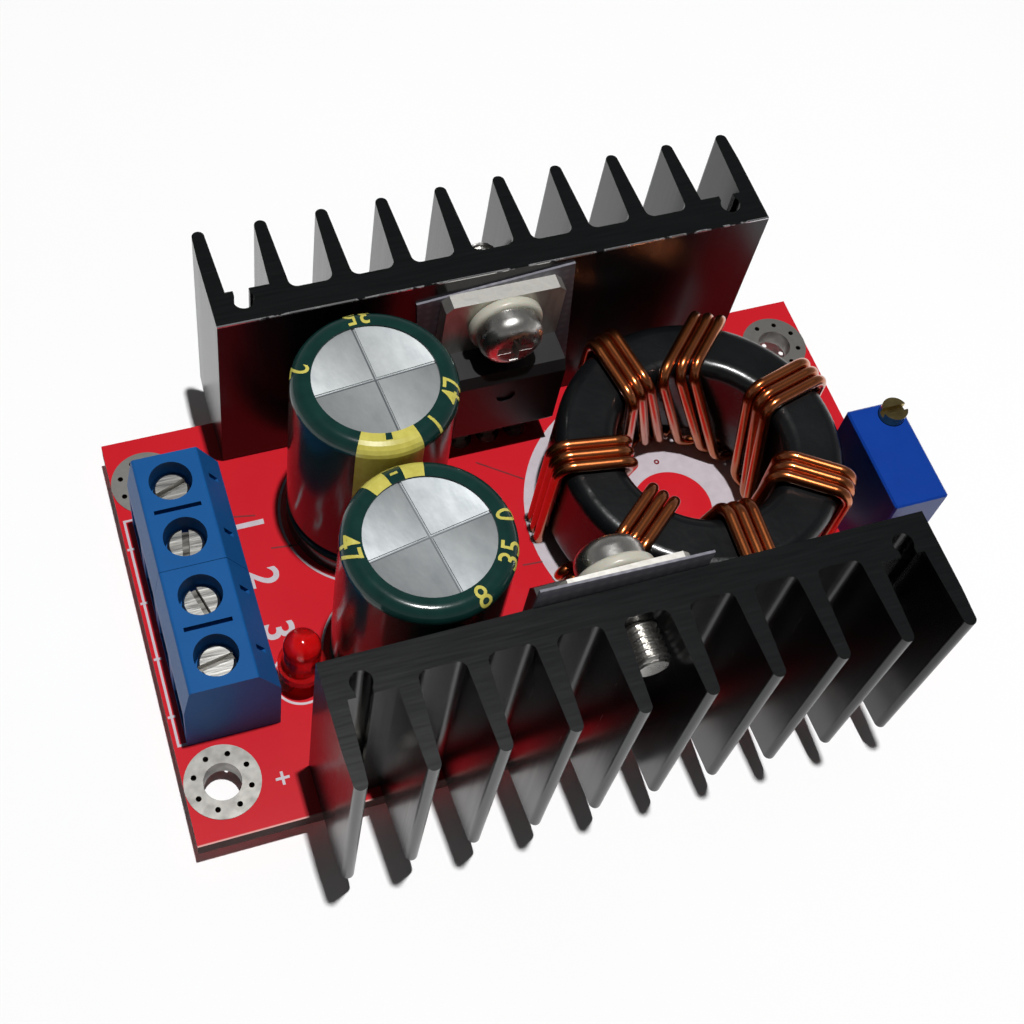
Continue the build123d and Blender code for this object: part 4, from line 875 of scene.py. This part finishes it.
def threaded_shank(shape, axis, outward, begin, end):
    """A screw's shank with its helical thread, along Y from begin to end."""
    length = end - begin
    rows = round(length / thread_pitch * thread_steps)
    rings = []
    for row in range(rows + 1):
        run = length * row / rows
        ring = []
        for side in range(thread_sides):
            radius = thread_radius(run, side, length)
            angle = 2 * pi * side / thread_sides
            ring.append(shape.verts.new((axis.x + radius * cos(angle), outward * (begin + run),
                                         axis.z + radius * sin(angle))))
        rings.append(ring)
    for row in range(rows):
        for side in range(thread_sides):
            after = (side + 1) % thread_sides
            here, there = rings[row], rings[row + 1]
            shape.faces.new((here[side], here[after], there[after], there[side]))
    shape.faces.new(rings[0])
    shape.faces.new(rings[-1][::-1])


def threaded_screws(material):
    """The two device screws: the frame's own heads, with a cut thread in place of the plain shank."""
    shape = bmesh.new()
    shape.from_mesh(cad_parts["device_screws"].data)
    bmesh.ops.remove_doubles(shape, verts=shape.verts, dist=screw_weld * MM)
    bmesh.ops.scale(shape, vec=(1 / MM, 1 / MM, 1 / MM), verts=shape.verts)
    low, high = (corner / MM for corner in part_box("device_screws"))
    heads = {}
    for outward in (1, -1):
        head = [v.co for v in shape.verts if v.co.y * outward > 0 and abs(v.co.y) < screw_seat]
        heads[outward] = Vector(((min(c.x for c in head) + max(c.x for c in head)) / 2, 0,
                                 (min(c.z for c in head) + max(c.z for c in head)) / 2))
    shank = [face for face in shape.faces if abs(face.calc_center_median().y) > screw_seat + seat_margin]
    bmesh.ops.delete(shape, geom=shank, context="FACES")
    bmesh.ops.holes_fill(shape, edges=shape.edges)
    for outward, end in ((1, high.y), (-1, -low.y)):
        threaded_shank(shape, heads[outward], outward, screw_seat - shank_overlap, end)
    piece = add_piece("threaded_device_screws", shape, material)
    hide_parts("device_screws")


# Light, table and viewpoint

def overhead_lamp():
    """One small square lamp, straight above the module."""
    light = bpy.data.lights.new("overhead_lamp", "AREA")
    light.size = lamp_size
    light.energy = lamp_watts
    holder = bpy.data.objects.new("overhead_lamp", light)
    holder.location = lamp_place
    holder.rotation_euler = (Vector(lamp_aim) - Vector(lamp_place)).to_track_quat("-Z", "Y").to_euler()
    bpy.context.scene.collection.objects.link(holder)


def stage_table():
    """The white table, level with the object's lowest point."""
    bpy.ops.mesh.primitive_circle_add(vertices=table_sides, radius=table_radius, fill_type="NGON",
                                      location=(0, 0, cad_box[0][2]))
    table = bpy.context.active_object
    table.name = "table"
    table.data.materials.append(white_table())


def pale_room():
    """A room that looks evenly white, gives little light, and is mirrored darker up toward its ceiling."""
    world = bpy.data.worlds.new("pale_room")
    bpy.context.scene.world = world
    world.use_nodes = True
    tree = world.node_tree
    tree.nodes.clear()
    path = add(tree, "LightPath")
    seen = add(tree, "Math", {0: path.outputs["Is Glossy Ray"], 1: path.outputs["Is Transmission Ray"]},
               operation="MAXIMUM")
    way = add(tree, "SeparateXYZ", {"Vector": add(tree, "TexCoord").outputs["Generated"]})
    mirrored = add(tree, "MapRange", {
        "Value": way.outputs["Z"], "From Min": mirrored_rise[0], "From Max": mirrored_rise[1],
        "To Min": mirrored_walls, "To Max": mirrored_ceiling})
    ambient = add(tree, "Mix", {0: seen.outputs[0], 2: ambient_light, 3: mirrored.outputs[0]})
    strength = add(tree, "Mix", {0: path.outputs["Is Camera Ray"], 2: ambient.outputs[0], 3: 1.0})
    room = add(tree, "Background", {"Color": (1, 1, 1, 1), "Strength": strength.outputs[0]})
    add(tree, "OutputWorld", {"Surface": room.outputs[0]})


def camera():
    """The photograph's viewpoint, solved from the module's corners and edges."""
    lens = bpy.data.cameras.new("camera")
    lens.sensor_width = film_width
    lens.lens = focal_length
    lens.shift_x, lens.shift_y = film_shift
    lens.clip_start = nearest_sight
    holder = bpy.data.objects.new("camera", lens)
    holder.location = camera_place
    holder.rotation_euler = Euler([radians(angle) for angle in camera_turn])
    bpy.context.scene.collection.objects.link(holder)
    bpy.context.scene.camera = holder


def finishes():
    """Every finish by the frame's pieces that wear it."""
    tinned_copper = tinned_lead("tinned_copper", "#D2D0CB", "#8D8A84", 0.4)
    tinned_steel = tinned_lead("tinned_steel", "#CFCBC2", "#837E75", 0.7)
    plated_strip = tinned_lead("plated_strip", "#D6D2C8", "#8A857A", 0.5)
    epoxy = moulded_epoxy()
    ways = range(1, 5)
    dress(["circuit_board"], solder_mask())
    dress(["mounting_rings"], levelled_tin())
    dress(["solder_joints"], bright_solder())
    dress(["rear_heatsink", "front_heatsink"], anodised_aluminium())
    dress(["rear_heatsink_pins", "front_heatsink_pins", "pilot_lamp_legs"], tinned_steel)
    dress(["rectifier_tab", "transistor_tab"], tinned_lead("tinned_tab", "#E6E4DE", "#AFACA5", 0.5, 0.36))
    dress(["rectifier_outer_leads", "transistor_outer_leads", "rear_capacitor_leads",
           "front_capacitor_leads", "trimmer_pins", "controller_legs", "regulator_legs",
           "flat_part_caps"], tinned_copper)
    dress(["rectifier_moulding", "transistor_moulding", "controller_chip", "regulator_chip"], epoxy)
    dress(["rear_insulating_sheet", "front_insulating_sheet"], silicone_cloth())
    dress(["rear_shoulder_washer", "front_shoulder_washer"],
          moulded_nylon("cream_nylon", "#B4B2A4", "#CDCABB", 0.35, 0.2))
    dress(["inductor_core"], epoxy_powder())
    dress([f"winding_strand_{strand}" for strand in (1, 2, 3)], enamelled_copper())
    for side, turn, dull, pale in can_tops:
        metal = drawn_aluminium(f"{side}_drawn_aluminium", sleeve_form(side)[0], turn, dull, pale)
        dress([f"{side}_capacitor_can"], metal)
    dress(["rear_capacitor_sleeve", "front_capacitor_sleeve"], shrunk_sleeve())
    dress(["rear_capacitor_bung", "front_capacitor_bung"], moulded_rubber())
    dress(["rear_capacitor_roll", "front_capacitor_roll"], foil_and_paper())
    dress(["input_terminal_housing", "output_terminal_housing"],
          moulded_nylon("blue_nylon", "#17508A", "#1E5A98", 0.4, sheen=0.06))
    dress([f"terminal_screw_{way}" for way in ways], slotted_steel())
    dress([f"terminal_cage_{way}" for way in ways] + ["terminal_contacts"], plated_strip)
    dress(["trimmer_case"], moulded_nylon("blue_polyester", "#083489", "#0D3F9C", 0.32, sheen=0.2))
    dress(["trimmer_base", "trimmer_rotor"], moulded_nylon("white_acetal", "#C9C9C2", "#DEDED8", 0.35))
    dress(["trimmer_screw"], turned_brass())
    dress(["trimmer_element", "ceramic_capacitors"], fired_ceramic())
    dress(["pilot_lamp_lens"], tinted_epoxy())
    dress(["small_resistors", "current_shunt"], glazed_film())


def added_pieces():
    """What the frame leaves to ink and thread."""
    board_legend(legend_ink())
    mask_gaps(dark_mask())
    yellow = sleeve_ink()
    for side, facing, notch, numbers in sleeve_prints:
        sleeve_print(side, facing, notch, numbers, yellow)
    threaded_screws(plated_steel())


finishes()
added_pieces()
stage_table()
pale_room()
overhead_lamp()
camera()
bpy.context.scene.view_settings.view_transform = "Standard"
